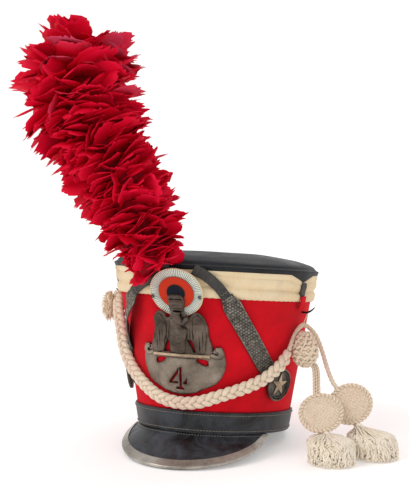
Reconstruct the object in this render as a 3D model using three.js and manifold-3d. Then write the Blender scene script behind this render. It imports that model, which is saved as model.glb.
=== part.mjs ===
// A parade shako: red cloth over a stiff flared body, with a leather crown and peak, a cast
// plate, a cockade, tied-up chin straps, a feather plume, and a plaited cord with two
// woven flounders and tassels. Millimetres, +Z up, front towards -Y. The hat stands as on a
// table, on the back of its rim and the front of its peak, with the cords lying beside it.
import * as THREE from 'three';
import { mergeVertices } from 'three/addons/utils/BufferGeometryUtils.js';
import Module from 'manifold-3d';

const wasm = await Module();
wasm.setup();

// Body, in the hat's own frame: height 0 is the lower edge, and turn 0 the front
const headWidth = 168;
const headLength = 196;
const crownDiameter = 232;
const bodyHeight = 185;
const crownForward = 20;
const feltWall = 2.4;
const shellShort = 1.5;
const roundSteps = 40;
const crownSteps = 60;

// Crown and cloth band
const crownRise = 18;
const crownLeather = 2;
const skirtDepth = 4;
const skirtLip = 3.2;
const skirtTaper = 0.4;
const underRimDrop = 0.9;
const vTurn = 78;
const vDepth = 8;
const vHalfTurn = 2 * (360 / crownSteps);
const bandDepth = 34;
const bandFoot = bodyHeight - bandDepth;
const bandPad = 3.4;
const bandLeast = 0.6;
const bandPlay = 0.3;
const bandApproach = 14;

// Head band and peak
const headBandHeight = 24;
const bandLeather = 2;
const leatherEdge = 0.6;
const peakHalfTurn = 67;
const peakReach = 55.2;
const peakEnd = 3;
const peakSlope = 37.5;
const peakLeather = 2.4;
const peakRoot = 3;
const peakSink = 0.5;
const peakPower = { across: 1.93, fullness: 1.21 };
const peakSteps = 24;
const peakRows = 4;
const trimWidth = 10.5;
const trimMetal = 0.8;
const trimShare = { side: 0.6, under: 0.55, roundedEdge: 0.4 };

// Plate and cockade
const plateWidth = 97;
const plateFoot = 41;
const plateHeight = 111;
const plateMetal = 2;
const plateLayerSink = 0.5;
const crescentDome = 2.4;
const eagleRelief = 1.4;
const hornRelief = 2;
const barRelief = { edge: 1.8, ridge: 3 };
const breastRelief = { edge: 0.8, dome: 3.6 };
const collarRelief = { groove: 2, rib: 3 };
const collarCells = 6;
const cockadeWidth = 58;
const cockadeHeight = 53;
const cockadeDrop = 20;
const cockadeFoot = bandFoot - cockadeDrop;
const cockadeLean = 14;
const cockadeThick = 1.6;
const cockadeStand = 0.6;
const cockadeEdgeShare = 0.35;
const cockadeHoleShare = 0.3;
const cockadeSteps = 24;
const ringShare = { middle: 0.72, centre: 0.36 };
const ringThick = { middle: 1, centre: 0.64 };
const plateClimb = { start: 14, end: 3 };

// Straps, bosses, hooks and tabs
const strapWidth = 20;
const strapThick = 1.8;
const strapPlay = 0.15;
const strapCells = 18;
const strapEndWidth = 12;
const strapEndCells = 8;
const bossDiameter = 38;
const bossThick = 2;
const bossRim = 1;
const bossSteps = 20;
const starRise = 2;
const starSink = 0.5;
const bossTurn = 69.3;
const bossHeight = 57.4;
const hookTurn = 86;
const hookDrop = { right: 12, left: 4 };
const hookWire = 1.2;
const hookReach = 14;
const hookRise = 9;
const tabWidth = 10;
const tabThick = 1.4;
const leatherTabLength = 17;
const redTabLength = 15;
const tabOverlap = 3;
const tabDrop = 2;

// Plume
const socketLength = 25;
const socketFoot = bandFoot + 12;
const socketRadius = 4.4;
const socketTurn = { low: -4, high: -6.5 };
const socketShare = { top: 1.1, bottom: 0.55, lowOut: 0.75, highOut: 1.16 };
const plumeFoot = [-1.2, -2, 2.1];
const plumeRise = 246;
const plumeReach = 74;
const stemRadius = 6;
const featherThick = 1.5;
const featherTiers = 12;
const feathersPerTier = 6;
const featherWidth = 46;

// Cords, flounders and tassels
const braidWidth = 15;
const braidThick = 9;
const cordThick = 5.4;
const flatCordShare = 1.6;
const stringThick = 1.6;
const flounderWidth = 50;
const flounderHeight = 46;
const flounderThick = 6.5;
const tasselWidth = 56;
const tasselHeight = 31;
const tasselLocks = 8;
const tasselHead = 11;
const knotSize = [28, 24, 40];
const tuftSize = [13, 15, 34];
const tuftTurn = -80;
const tuftHeight = bandFoot - 17;
const tuftOut = 20.9;
const knotPear = 0.2;
const gap = 0.3;

// How far a facet of the round body may lie inside its true curve, and the offset from the
// body at which a piece that lies on it is clear of it
const facetSag = (crownDiameter / 2) * (1 - Math.cos(Math.PI / roundSteps));
const seat = gap + facetSag;
const rad = THREE.MathUtils.degToRad;
const { lerp, clamp, smoothstep } = THREE.MathUtils;
const vec = (x, y, z) => new THREE.Vector3(x, y, z);

const leather = new THREE.MeshStandardMaterial({ color: 0x262628, roughness: 0.5 });
const redCloth = new THREE.MeshStandardMaterial({ color: 0xc8102a, roughness: 0.95 });
const creamCloth = new THREE.MeshStandardMaterial({ color: 0xe3cdae, roughness: 0.9 });
const pewter = new THREE.MeshStandardMaterial({ color: 0x6b645b, roughness: 0.55, metalness: 0.8 });
const trimMetalLook = new THREE.MeshStandardMaterial({ color: 0x8a837b, roughness: 0.45, metalness: 0.9 });
const mailLook = new THREE.MeshStandardMaterial({ color: 0x4d4943, roughness: 0.6, metalness: 0.5 });
const blackWire = new THREE.MeshStandardMaterial({ color: 0x1a1a1a, roughness: 0.5, metalness: 0.6 });
const whiteRibbon = new THREE.MeshStandardMaterial({ color: 0xd9ddd0, roughness: 0.9 });
const orangeRibbon = new THREE.MeshStandardMaterial({ color: 0xc8402b, roughness: 0.9 });
const navyRibbon = new THREE.MeshStandardMaterial({ color: 0x1e2633, roughness: 0.9 });
const feather = new THREE.MeshStandardMaterial({ color: 0xb8072b, roughness: 0.95 });
const cordCotton = new THREE.MeshStandardMaterial({ color: 0xe6d5bd, roughness: 0.95 });

// Moves every vertex of a geometry to place(x, y, z)
function reshaped(geometry, place) {
  const points = geometry.attributes.position;
  for (let i = 0; i < points.count; i += 1) {
    const moved = place(points.getX(i), points.getY(i), points.getZ(i));
    points.setXYZ(i, moved.x, moved.y, moved.z);
  }
  return geometry;
}

// Shares the vertices of a closed geometry, drops flattened triangles and faces it outwards
function solid(geometry) {
  const bare = new THREE.BufferGeometry();
  bare.setAttribute('position', geometry.attributes.position);
  if (geometry.index) bare.setIndex(geometry.index);
  const merged = mergeVertices(bare, 1e-3);
  const points = merged.attributes.position;
  const source = merged.index.array;
  const corner = [vec(), vec(), vec()];
  const faces = [];
  let volume = 0;
  for (let i = 0; i < source.length; i += 3) {
    const [a, b, c] = [source[i], source[i + 1], source[i + 2]];
    if (a === b || b === c || c === a) continue;
    faces.push([a, b, c]);
    [a, b, c].forEach((index, k) => corner[k].fromBufferAttribute(points, index));
    volume += corner[0].dot(corner[1].cross(corner[2]));
  }
  merged.setIndex(faces.flatMap(([a, b, c]) => (volume > 0 ? [a, b, c] : [a, c, b])));
  return merged;
}

function toManifold(geometry) {
  return new wasm.Manifold(new wasm.Mesh({
    numProp: 3,
    vertProperties: new Float32Array(geometry.attributes.position.array),
    triVerts: new Uint32Array(geometry.index.array),
  }));
}

function fromManifold(body) {
  const mesh = body.getMesh();
  const geometry = new THREE.BufferGeometry();
  geometry.setAttribute('position', new THREE.BufferAttribute(mesh.vertProperties, 3));
  geometry.setIndex(new THREE.BufferAttribute(mesh.triVerts, 1));
  return geometry;
}

const joined = (...pieces) => fromManifold(pieces.map(toManifold).reduce((a, b) => a.add(b)));
const common = (a, b) => fromManifold(toManifold(a).intersect(toManifold(b)));
const cut = (a, ...tools) => fromManifold(tools.map(toManifold).reduce((left, b) => left.subtract(b), toManifold(a)));

// A sheet of cells whose corners are placed by (along, across, side), each from 0 to 1
function sheet(cellsAlong, cellsAcross, place) {
  const box = new THREE.BoxGeometry(1, 1, 1, cellsAlong, cellsAcross, 1);
  box.translate(0.5, 0.5, 0.5);
  return solid(reshaped(box, place));
}

// An upright closed outline of [x, y] rows, as a solid from near to far along Z
function prism(outline, near, far) {
  const shape = new THREE.Shape(outline.map(([x, y]) => new THREE.Vector2(x, y)));
  const block = new THREE.ExtrudeGeometry(shape, { depth: far - near, bevelEnabled: false });
  return solid(block.translate(0, 0, near));
}

// The body's oval at a height: straight sides between the head opening and the crown's rim
function oval(height) {
  const share = height / bodyHeight;
  return {
    halfWidth: lerp(headWidth / 2, crownDiameter / 2, share),
    halfLength: lerp(headLength / 2, crownDiameter / 2, share),
    forward: crownForward * share,
  };
}

function bodyPoint(turn, height, out = 0) {
  const { halfWidth, halfLength, forward } = oval(height);
  return vec((halfWidth + out) * Math.sin(turn), -(halfLength + out) * Math.cos(turn) - forward, height);
}

// The direction straight out of the body, from two neighbours of a point
function bodyNormal(turn, height) {
  const side = bodyPoint(turn + 0.01, height).sub(bodyPoint(turn - 0.01, height));
  const up = bodyPoint(turn, height + 1).sub(bodyPoint(turn, height - 1));
  return side.cross(up).normalize();
}

// How far the cloth band and the crown's skirt stand out from the body at a height
function clothOut(height) {
  return (bandPad + gap) * smoothstep(height, bandFoot - bandApproach, bandFoot - 1);
}

// A closed profile of [out, height] rows turned round the body
function hoop(profile) {
  const nominal = crownDiameter / 2;
  const points = [...profile, profile[0]].map(([out, height]) => new THREE.Vector2(nominal + out, height));
  return solid(reshaped(new THREE.LatheGeometry(points, roundSteps), (x, y, z) => (
    bodyPoint(Math.atan2(x, z), y, Math.hypot(x, z) - nominal))));
}

function shell() {
  const top = bodyHeight - shellShort;
  return hoop([[0, 0], [0, top], [-feltWall, top], [-feltWall, 0]]);
}

// How far the crown's skirt dips at a turn: a V at each side
function vDip(turn) {
  const away = Math.abs(Math.abs(THREE.MathUtils.radToDeg(turn)) - vTurn);
  return vDepth * clamp(1 - away / vHalfTurn, 0, 1);
}

// The crown's top outside: [share of the rim's radius, share of the rise]
const crownDome = [[0, 1], [0.45, 0.91], [0.75, 0.69], [0.9, 0.46], [0.965, 0.27]];
const crownUnder = [[0.955, 0.15], [0.75, 0.66], [0.45, 0.9], [0, 1]];

function crown() {
  const rim = crownDiameter / 2;
  const skirtFoot = bodyHeight - skirtDepth;
  const over = crownDome.map(([share, rise]) => [share * rim, bodyHeight + rise * crownRise]);
  const under = crownUnder.map(([share, rise]) => [share * rim, bodyHeight + rise * crownRise - crownLeather]);
  const profile = [...over, [rim + skirtLip, bodyHeight], [rim + skirtLip - skirtTaper, skirtFoot],
    [rim + seat, skirtFoot], [rim + seat, bodyHeight - underRimDrop], ...under];
  const lathe = new THREE.LatheGeometry(profile.map(([r, h]) => new THREE.Vector2(r, h)), crownSteps);
  return solid(reshaped(lathe, (x, y, z) => {
    const radius = Math.hypot(x, z);
    const turn = Math.atan2(x, z);
    const height = y === Math.fround(skirtFoot) ? y - vDip(turn) : y;
    const { halfWidth, halfLength, forward } = oval(height);
    const out = radius - rim;
    if (out > 0) return bodyPoint(turn, height, out);
    return vec((radius / rim) * halfWidth * Math.sin(turn),
      -(radius / rim) * halfLength * Math.cos(turn) - forward, height);
  }));
}

// The cloth band's outside: [share of its height, share of its pad]
const bandRolls = [[0, 0.45], [0.1, 1], [0.34, 0.97], [0.43, 0.66], [1, 0.8]];

function clothBand(fromTurn, toTurn, cells) {
  return sheet(cells, bandRolls.length - 1, (along, across, side) => {
    const row = bandRolls[Math.round(across * (bandRolls.length - 1))];
    const turn = rad(lerp(fromTurn, toTurn, along));
    const wrapped = turn > Math.PI ? turn - 2 * Math.PI : turn;
    const top = bodyHeight - skirtDepth - gap - vDip(wrapped);
    const out = Math.max(row[1] * bandPad, seat + bandLeast);
    return bodyPoint(turn, lerp(bandFoot, top, row[0]), lerp(seat, out, side));
  });
}

function headBand() {
  const inner = seat;
  const outer = seat + bandLeather;
  return hoop([[inner, 0], [outer, 0], [outer, headBandHeight - leatherEdge],
    [outer - leatherEdge, headBandHeight], [inner, headBandHeight]]);
}

// The peak's upper face at a share of its half turn: reach out from the head band, and lift
// square to the leather. Behind the band's face it runs flat under the band.
function peakWidth(share) {
  return peakEnd + (peakReach - peakEnd) * (1 - Math.abs(share) ** peakPower.across) ** peakPower.fullness;
}

function peakPoint(share, reach, lift) {
  const turn = rad(peakHalfTurn) * share;
  const { halfWidth, halfLength } = oval(0);
  const outward = vec(Math.sin(turn) / halfWidth, -Math.cos(turn) / halfLength, 0).normalize();
  const slope = reach > 0 ? rad(peakSlope) : 0;
  const tilt = rad(peakSlope);
  const point = bodyPoint(turn, 0, seat + bandLeather);
  point.addScaledVector(outward, reach * Math.cos(slope) + lift * Math.sin(tilt));
  point.z += -reach * Math.sin(slope) + lift * Math.cos(tilt);
  return point;
}

function peak() {
  return sheet(peakSteps, peakRows, (along, across, side) => {
    const share = lerp(-1, 1, along);
    const reach = across === 0 ? -peakRoot : ((across * peakRows - 1) / (peakRows - 1)) * peakWidth(share);
    return peakPoint(share, reach, -peakSink - (1 - side) * peakLeather);
  });
}

// A thin channel folded over the peak's edge, its upper flange wider at the front
function peakTrim() {
  const above = gap - peakSink;
  const below = -peakSink - peakLeather - gap;
  const lip = trimMetal + gap;
  const { under } = trimShare;
  const profile = [[-lip, below - trimMetal], [0, below - trimMetal], [under, below - trimMetal], [under, below],
    [-gap, below], [-gap, above], [1, above], [1, above + trimMetal], [-gap, above + trimMetal],
    [-lip, above + trimMetal * trimShare.roundedEdge]];
  const shape = new THREE.Shape(profile.map(([x, y]) => new THREE.Vector2(x, y)));
  const strip = new THREE.ExtrudeGeometry(shape, { depth: 1, steps: peakSteps, bevelEnabled: false });
  return solid(reshaped(strip, (x, y, z) => {
    const share = lerp(-1, 1, z);
    const width = peakWidth(share);
    const flange = Math.min(lerp(trimShare.side, 1, 1 - share * share) * trimWidth, width - peakEnd / 2);
    return peakPoint(share, width - (x > 0 ? x * flange : x), y);
  }));
}

// Cockade: a flat oval disc that stands on the body above the plate and leans forward
const frontFlare = Math.atan((crownDiameter / 2 + crownForward - headLength / 2) / bodyHeight);
const frontUp = vec(0, -Math.sin(frontFlare), Math.cos(frontFlare));
const frontOut = vec(0, -Math.cos(frontFlare), -Math.sin(frontFlare));
const cockadeUp = frontUp.clone().multiplyScalar(Math.cos(rad(cockadeLean)))
  .addScaledVector(frontOut, Math.sin(rad(cockadeLean)));
const cockadeOut = frontOut.clone().multiplyScalar(Math.cos(rad(cockadeLean)))
  .addScaledVector(frontUp, -Math.sin(rad(cockadeLean)));
const cockadeBase = bodyPoint(0, cockadeFoot, seat + cockadeStand).addScaledVector(cockadeUp, cockadeHeight / 2);

// A flat ring or disc with its centre on the axis through the cockade, its back at lift
function cockadeRing(outerShare, innerShare, lift, thick) {
  const outer = (cockadeWidth / 2) * outerShare;
  const inner = (cockadeWidth / 2) * innerShare;
  const edge = thick * cockadeEdgeShare;
  const profile = [[inner, lift], [outer, lift], [outer, lift + thick - edge],
    [outer - 2 * edge, lift + thick], [inner, lift + thick]];
  const points = [...profile, ...(inner > 0 ? [profile[0]] : [])].map(([r, h]) => new THREE.Vector2(r, h));
  const squash = cockadeHeight / cockadeWidth;
  return solid(reshaped(new THREE.LatheGeometry(points, cockadeSteps), (x, y, z) => (
    cockadeBase.clone().add(vec(x, 0, 0)).addScaledVector(cockadeUp, z * squash)
      .addScaledVector(cockadeOut, y))));
}

const cockadeTop = 2 * cockadeThick + 2 * gap;

// Plate outlines, as shares of its half width and of its height above its foot
const crescentHalf = [[0, 0], [0.29, 0.03], [0.56, 0.08], [0.79, 0.135], [0.94, 0.235], [1, 0.355],
  [0.93, 0.47], [0.83, 0.495], [0.715, 0.45], [0.68, 0.42]];
const crescentHole = [[0.37, 0.375], [0.615, 0.375], [0.635, 0.312], [0.5, 0.32]];
const eagleOutline = [[-0.66, 0.4], [-0.665, 0.63], [-0.63, 0.76], [-0.55, 0.82], [-0.45, 0.838],
  [-0.34, 0.822], [-0.27, 0.775], [-0.18, 0.79], [-0.16, 0.84], [-0.18, 0.9], [-0.19, 0.965],
  [-0.12, 1], [0.12, 1], [0.19, 0.965], [0.18, 0.9], [0.155, 0.845], [0.22, 0.81], [0.27, 0.79],
  [0.36, 0.82], [0.45, 0.838], [0.55, 0.82], [0.63, 0.76], [0.66, 0.62], [0.65, 0.4]];
const eagleHoles = [
  [[0.04, 0.75], [0.22, 0.755], [0.12, 0.7]],
  [[-0.33, 0.55], [-0.25, 0.435], [-0.39, 0.43]],
  [[0.17, 0.545], [0.27, 0.54], [0.33, 0.46]],
];
const torsoOutline = [[-0.23, 0.43], [-0.27, 0.56], [-0.24, 0.72], [-0.13, 0.78], [0, 0.79], [0.12, 0.69],
  [0.16, 0.56], [0.27, 0.43]];
const numeral = [
  [[-0.012, 0.28], [0.025, 0.28], [0.025, 0.085], [0.07, 0.075], [0.07, 0.062], [-0.1, 0.062], [-0.1, 0.075],
    [-0.025, 0.085], [-0.025, 0.28]],
  [[-0.05, 0.27], [-0.06, 0.22], [-0.22, 0.135], [-0.06, 0.135], [-0.06, 0.12], [-0.29, 0.12], [-0.29, 0.135]],
  [[0.06, 0.118], [0.15, 0.118], [0.15, 0.17]],
];

// Where a plate point at (x, z) lies in front of the body, at an offset
function plateSurface(x, z, out) {
  const { halfWidth, halfLength, forward } = oval(z);
  return vec(x, -(halfLength + out) * Math.sqrt(1 - (x / (halfWidth + out)) ** 2) - forward, z);
}

// The plate's back: close to the cloth low down, and clear of the leaning cockade above
function plateBack(z) {
  const lean = frontFlare + rad(cockadeLean);
  const cockadeFront = seat + cockadeStand + (cockadeTop + gap) / Math.cos(lean) + gap
    + Math.max(z - cockadeFoot, 0) * (Math.tan(lean) - Math.tan(frontFlare));
  return lerp(seat, cockadeFront, smoothstep(z, cockadeFoot - plateClimb.start, cockadeFoot - plateClimb.end));
}

// A bent sheet in front of the body that is cut to an outline and pierced by holes
function plateLayer(outline, holes, cells, from, to) {
  const scaled = (rows) => rows.map(([x, z]) => [x * plateWidth / 2, plateFoot + z * plateHeight]);
  const upright = (rows) => prism(scaled(rows), 0, headLength + crownForward).rotateX(Math.PI / 2);
  const xs = scaled(outline).map(([x]) => x);
  const zs = scaled(outline).map(([, z]) => z);
  const margin = 1;
  const blank = sheet(cells[0], cells[1], (along, across, side) => {
    const x = lerp(Math.min(...xs) - margin, Math.max(...xs) + margin, along);
    const z = lerp(Math.min(...zs) - margin, Math.max(...zs) + margin, across);
    return plateSurface(x, z, plateBack(z) + (side ? to(along, across) : from));
  });
  const trimmed = common(blank, solid(upright(outline)));
  return holes.length ? cut(trimmed, ...holes.map((hole) => solid(upright(hole)))) : trimmed;
}

const mirrored = (rows) => rows.map(([x, z]) => [-x, z]).reverse();
const barOutline = [[-0.72, 0.385], [0.7, 0.385], [0.7, 0.425], [-0.72, 0.425]];
const hornOutline = [[0.72, 0.4], [0.9, 0.38], [0.97, 0.44], [0.86, 0.505], [0.72, 0.47]];
const collarOutline = [[-0.17, 0.84], [0.17, 0.84], [0.17, 0.955], [-0.17, 0.955]];

// Thickness of a layer that swells in its middle
const domed = (edge, rise) => (along, across) => (
  edge + rise * Math.sin(Math.PI * along) * Math.sin(Math.PI * across));
const flat = (thick) => () => thick;

function plate() {
  const crescent = [...crescentHalf, ...mirrored(crescentHalf).slice(0, -1)];
  const holes = [crescentHole, mirrored(crescentHole), ...numeral];
  const ridged = (along, across) => plateMetal + (across === 0.5 ? barRelief.ridge : barRelief.edge);
  const ribbed = (along, across) => (
    plateMetal + (Math.round(across * collarCells) % 2 ? collarRelief.rib : collarRelief.groove));
  const breast = domed(plateMetal + breastRelief.edge, breastRelief.dome);
  return joined(
    plateLayer(crescent, holes, [8, 3], 0, domed(plateMetal, crescentDome)),
    plateLayer(eagleOutline, eagleHoles, [7, 5], 0, flat(plateMetal + eagleRelief)),
    plateLayer(torsoOutline, [], [4, 4], plateLayerSink, breast),
    plateLayer(barOutline, [], [6, 2], plateLayerSink, ridged),
    plateLayer(hornOutline, [], [2, 2], plateLayerSink, flat(plateMetal + hornRelief)),
    plateLayer(mirrored(hornOutline), [], [2, 2], plateLayerSink, flat(plateMetal + hornRelief)),
    plateLayer(collarOutline, [], [1, collarCells], plateLayerSink, ribbed),
  );
}

// A strip that follows the body through [turn in degrees, height] rows. Its own width runs
// square to its way, and it stays outside the cloth band.
function strip(rows, width, back, thick, cells) {
  const path = new THREE.CatmullRomCurve3(rows.map(([turn, height]) => vec(turn, height, 0)));
  return sheet(cells, 2, (along, across, side) => {
    const here = path.getPoint(along);
    const way = path.getTangent(along);
    const arcPerDegree = rad(oval(here.y).halfWidth);
    const length = Math.hypot(way.x * arcPerDegree, way.y);
    const shift = (across - 0.5) * width(along);
    const turn = here.x - (shift * way.y) / length / arcPerDegree;
    const height = here.y + (shift * way.x * arcPerDegree) / length;
    return bodyPoint(rad(turn), height, clothOut(height) + back(along) + side * thick);
  });
}

// Chin strap routes, boss to cloth band and on to the plume: rows of [turn in degrees, height]
const strapRoutes = {
  right: [[26.7, 153], [40, 117], [53.7, 84], [62, 68], [73.5, 46]],
  left: [[-30.5, 154], [-40, 119], [-53.7, 84], [-62, 68], [-73.5, 46]],
};
const strapEndRoutes = {
  right: [[9, 181.5], [16, 174], [22, 163.5], [26.8, 152]],
  left: [[-11.5, 175.5], [-16, 169.5], [-22, 163.5], [-30.6, 153]],
};
// The left strap bows off the cloth over this first share of its length
const bowedShare = 0.42;
const strapBow = { right: 0, left: 4 };
// The strap is narrower over its first share, and tapers to its tab over the last one
const strapNeck = { share: 0.08, width: 0.75 };
const strapTab = { share: 0.14, width: 0.44 };

function scaledStrap(side) {
  const width = (along) => {
    const neck = along < strapNeck.share ? strapNeck.width : 1;
    const tabShare = clamp((along - 1 + strapTab.share) / strapTab.share, 0, 1);
    return strapWidth * neck * lerp(1, strapTab.width, tabShare);
  };
  const bow = (along) => strapBow[side] * Math.sin(Math.PI * Math.min(along / bowedShare, 1));
  return strip(strapRoutes[side], width, (along) => seat + strapPlay + bow(along), strapThick, strapCells);
}

function strapEnd(side) {
  const back = seat + strapPlay + strapThick + gap;
  return strip(strapEndRoutes[side], () => strapEndWidth, () => back, strapThick, strapEndCells);
}

// A round boss with a rim and a raised five-pointed star, its back on the plane z = 0
const starShare = { point: 0.7, notch: 0.27, crest: 0.16 };
const starTips = 5;

function boss() {
  const radius = bossDiameter / 2;
  const profile = [[0, 0], [1, 0], [1, bossThick], [0.95, bossThick + bossRim],
    [0.88, bossThick + bossRim], [0.83, bossThick], [0, bossThick]];
  const rows = profile.map(([share, h]) => new THREE.Vector2(share * radius, h));
  const disc = new THREE.LatheGeometry(rows, bossSteps).rotateX(Math.PI / 2);
  const points = Array.from({ length: 2 * starTips }, (_, i) => {
    const reach = radius * (i % 2 ? starShare.notch : starShare.point);
    const angle = Math.PI / 2 + (i * Math.PI) / starTips;
    return [reach * Math.cos(angle), reach * Math.sin(angle)];
  });
  const star = reshaped(prism(points, bossThick - starSink, bossThick + starRise), (x, y, z) => {
    const shrink = z > bossThick ? starShare.crest : 1;
    return vec(x * shrink, y * shrink, z);
  });
  return joined(solid(disc), star);
}

// A mesh placed on the body, its Z axis straight out
function seated(mesh, turn, height, out) {
  const normal = bodyNormal(rad(turn), height);
  mesh.quaternion.setFromRotationMatrix(new THREE.Matrix4().makeBasis(
    vec(0, 0, 1).cross(normal).normalize(), normal.clone().cross(vec(0, 0, 1).cross(normal).normalize()), normal));
  mesh.position.copy(bodyPoint(rad(turn), height)).addScaledVector(normal, out);
  return mesh;
}

// A round rod or cord through points, its ends square
function rod(points, radius, steps, sides, flat = 1) {
  const path = new THREE.CatmullRomCurve3(points);
  const section = new THREE.Shape(Array.from({ length: sides }, (_, i) => {
    const angle = (i * 2 * Math.PI) / sides;
    return new THREE.Vector2(radius * flat * Math.cos(angle), radius * Math.sin(angle));
  }));
  return solid(new THREE.ExtrudeGeometry(section, { steps, extrudePath: path }));
}

// The wire hook in its seat's frame: out of the body, then bent up. Shares of rise and reach
const hookBend = [[0, 0], [0.15, 0.45], [0.55, 0.8], [1, 1]];

function hook() {
  return rod(hookBend.map(([rise, reach]) => vec(0, hookRise * rise, lerp(gap, hookReach, reach))), hookWire, 6, 8);
}

// Small tabs that hang flat on the body below the V, one over the other
function tab(side, top, length, back) {
  return strip([[side * vTurn, top], [side * vTurn, top - length]], () => tabWidth, () => back, tabThick, 3);
}

const leatherTabTop = bodyHeight - skirtDepth - vDepth - tabDrop;
const redTabTop = leatherTabTop - leatherTabLength + tabOverlap;

// Plume: tiers of broad feathers round a leaning stem. Shares of plumeRise, and of plumeReach
const plumeRows = [
  // left, back, up, reach
  [0, 0, 0, 0.46],
  [0.05, 0, 0.057, 0.48],
  [0.085, 0, 0.163, 0.5],
  [0.142, 0, 0.272, 0.56],
  [0.203, 0, 0.382, 0.61],
  [0.264, 0, 0.488, 0.65],
  [0.325, 0.008, 0.618, 0.73],
  [0.374, 0.012, 0.728, 0.86],
  [0.41, 0.02, 0.833, 1],
  [0.39, 0.055, 0.95, 0.92],
];

function plumeAt(share) {
  const place = share * (plumeRows.length - 1);
  const low = Math.min(Math.floor(place), plumeRows.length - 2);
  const row = plumeRows[low].map((value, k) => lerp(value, plumeRows[low + 1][k], place - low));
  return { centre: vec(-row[0] * plumeRise, row[1] * plumeRise, row[2] * plumeRise), reach: row[3] * plumeReach };
}

// One feather from the stem outwards: a narrow root that fans out to a broad, cut-off tip
const bladeRoot = { start: 0.03, width: 0.12, thick: 1.6 };

function featherBlade(origin, outward, along, length, width) {
  const across = outward.clone().cross(along).normalize();
  const face = across.clone().cross(outward).normalize();
  return sheet(1, 1, (u, v, side) => origin.clone()
    .addScaledVector(outward, length * (u ? 1 : bladeRoot.start))
    .addScaledVector(across, (v - 0.5) * width * (u ? 1 : bladeRoot.width))
    .addScaledVector(face, (side - 0.5) * featherThick * (u ? 1 : bladeRoot.thick)));
}

// How far a feather lifts from square to the stem, in radians: more towards the top, every
// other one higher, and the lowest droop over the front and stand clear of the crown behind
const featherLift = { foot: 0.1, rise: 0.36, stagger: 0.17, droop: 0.75 };

function liftOf(share, index, backward) {
  const { foot, rise, stagger, droop } = featherLift;
  const turn = index % 2 ? stagger : -stagger;
  return foot + rise * share + turn * Math.sqrt(share) + droop * (1 - share) ** 2 * backward;
}

// Slight unevenness of feather and tassel lengths, from a piece's place in its ring
const uneven = (share, phase) => 1 - share + share * Math.sin(phase);
const featherUneven = 0.07;
const featherNarrowest = 0.62;

function plume() {
  const stemPoints = plumeRows.map((_, i) => plumeAt(i / (plumeRows.length - 1)).centre);
  const pieces = [rod(stemPoints, stemRadius, 8, 6)];
  for (let tier = 0; tier < featherTiers; tier += 1) {
    const share = (tier + 0.4) / featherTiers;
    const { centre, reach } = plumeAt(share);
    const along = plumeAt(share + 0.02).centre.sub(plumeAt(share - 0.02).centre).normalize();
    const side = vec(0, 1, 0).cross(along).normalize();
    const front = along.clone().cross(side).normalize();
    for (let i = 0; i < feathersPerTier; i += 1) {
      const angle = ((i + (tier % 2) / 2) * 2 * Math.PI) / feathersPerTier;
      const length = reach * uneven(featherUneven, i * 3.1 + tier * 2.3);
      const radial = side.clone().multiplyScalar(Math.cos(angle)).addScaledVector(front, Math.sin(angle));
      const lift = liftOf(share, i, radial.y);
      const outward = radial.multiplyScalar(Math.cos(lift)).addScaledVector(along, Math.sin(lift)).normalize();
      const width = featherWidth * lerp(featherNarrowest, 1, share);
      pieces.push(featherBlade(centre, outward, along, length, width));
    }
  }
  return joined(...pieces);
}

// The plaited cord's route round the front, hook to hook: [turn in degrees, height, out]
const braidRoute = [
  [-81, 150, 9.8], [-80, 143, 9.2], [-75, 136, 7.8], [-69, 127, 7.2], [-63.5, 115, 6.9], [-60, 104, 7],
  [-54, 88, 8], [-44.7, 70, 8], [-34.6, 57, 8], [-24, 45.8, 8.5], [-14, 37.8, 9.5], [-4.2, 34, 9.5],
  [5.6, 33.3, 9], [14.8, 36.3, 9], [23.6, 41.8, 8.5], [31.9, 47, 8], [42.9, 54.5, 8.5], [52.1, 62.5, 10],
  [59.5, 72.8, 11.5], [65.6, 83.1, 11], [69.5, 94.5, 9.5],
];

// Cord points beside the hat, on the table's frame. The round cord goes from the braid's end
// over the knot, which hangs from the right hook, and down to the further flounder.
const roundCordRoute = [
  [103.2, -35, 117.4], [104.2, -30.6, 122.8], [105.2, -26.1, 128.8], [106.6, -20.8, 134.6], [108.6, -14.2, 139.9],
  [111.9, -8.2, 142.9], [118.1, -6.1, 139.6], [125.4, -6.5, 132.4], [131.2, -7.9, 122], [136.5, -10.8, 110.3],
  [142.7, -14.6, 95.4], [148.8, -17.6, 83.6], [152.4, -18.4, 78.6], [154.6, -18.7, 76.1],
];
const flatCordRoute = [[127.9, -21.8, 101.7], [131, -23.2, 97.2], [132.9, -26, 91], [134.5, -30.2, 83.5],
  [136, -34.4, 75.6], [136.6, -36, 72.5]];
const stringRoute = [[114.5, -1.6, 154.6], [113.8, -4.2, 151], [112.2, -7.7, 144.9]];
const knotPlace = [118.5, -22.2, 118.5];
const flounderA = { centre: [145.1, -46.1, 52.3], foot: [153.5, -55.9, 32.5] };
const flounderB = { centre: [171, -18.8, 58.7], foot: [180.8, -22.4, 36.2] };
const tasselPlaceA = [162, -60.4];
const tasselPlaceB = [200, -20.5];
const viewTurn = 21;

const at = ([x, y, z]) => vec(x, y, z);

const braidSteps = 36;

function braid() {
  const points = braidRoute.map(([turn, height, out]) => bodyPoint(rad(turn), height, out));
  const path = new THREE.CatmullRomCurve3(points);
  const section = new THREE.Shape(Array.from({ length: 8 }, (_, i) => {
    const angle = ((i + 0.5) * Math.PI) / 4;
    return new THREE.Vector2((braidThick / 2) * Math.cos(angle), (braidWidth / 2) * Math.sin(angle));
  }));
  const strand = new THREE.ExtrudeGeometry(section, { depth: 1, steps: braidSteps, bevelEnabled: false });
  return solid(reshaped(strand, (x, y, z) => {
    const point = path.getPointAt(z);
    const way = path.getTangentAt(z);
    const out = vec(point.x, point.y + oval(point.z).forward, 0).normalize();
    const across = out.clone().cross(way).normalize();
    const face = way.clone().cross(across).normalize();
    return point.addScaledVector(face, x).addScaledVector(across, y);
  }));
}

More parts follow.
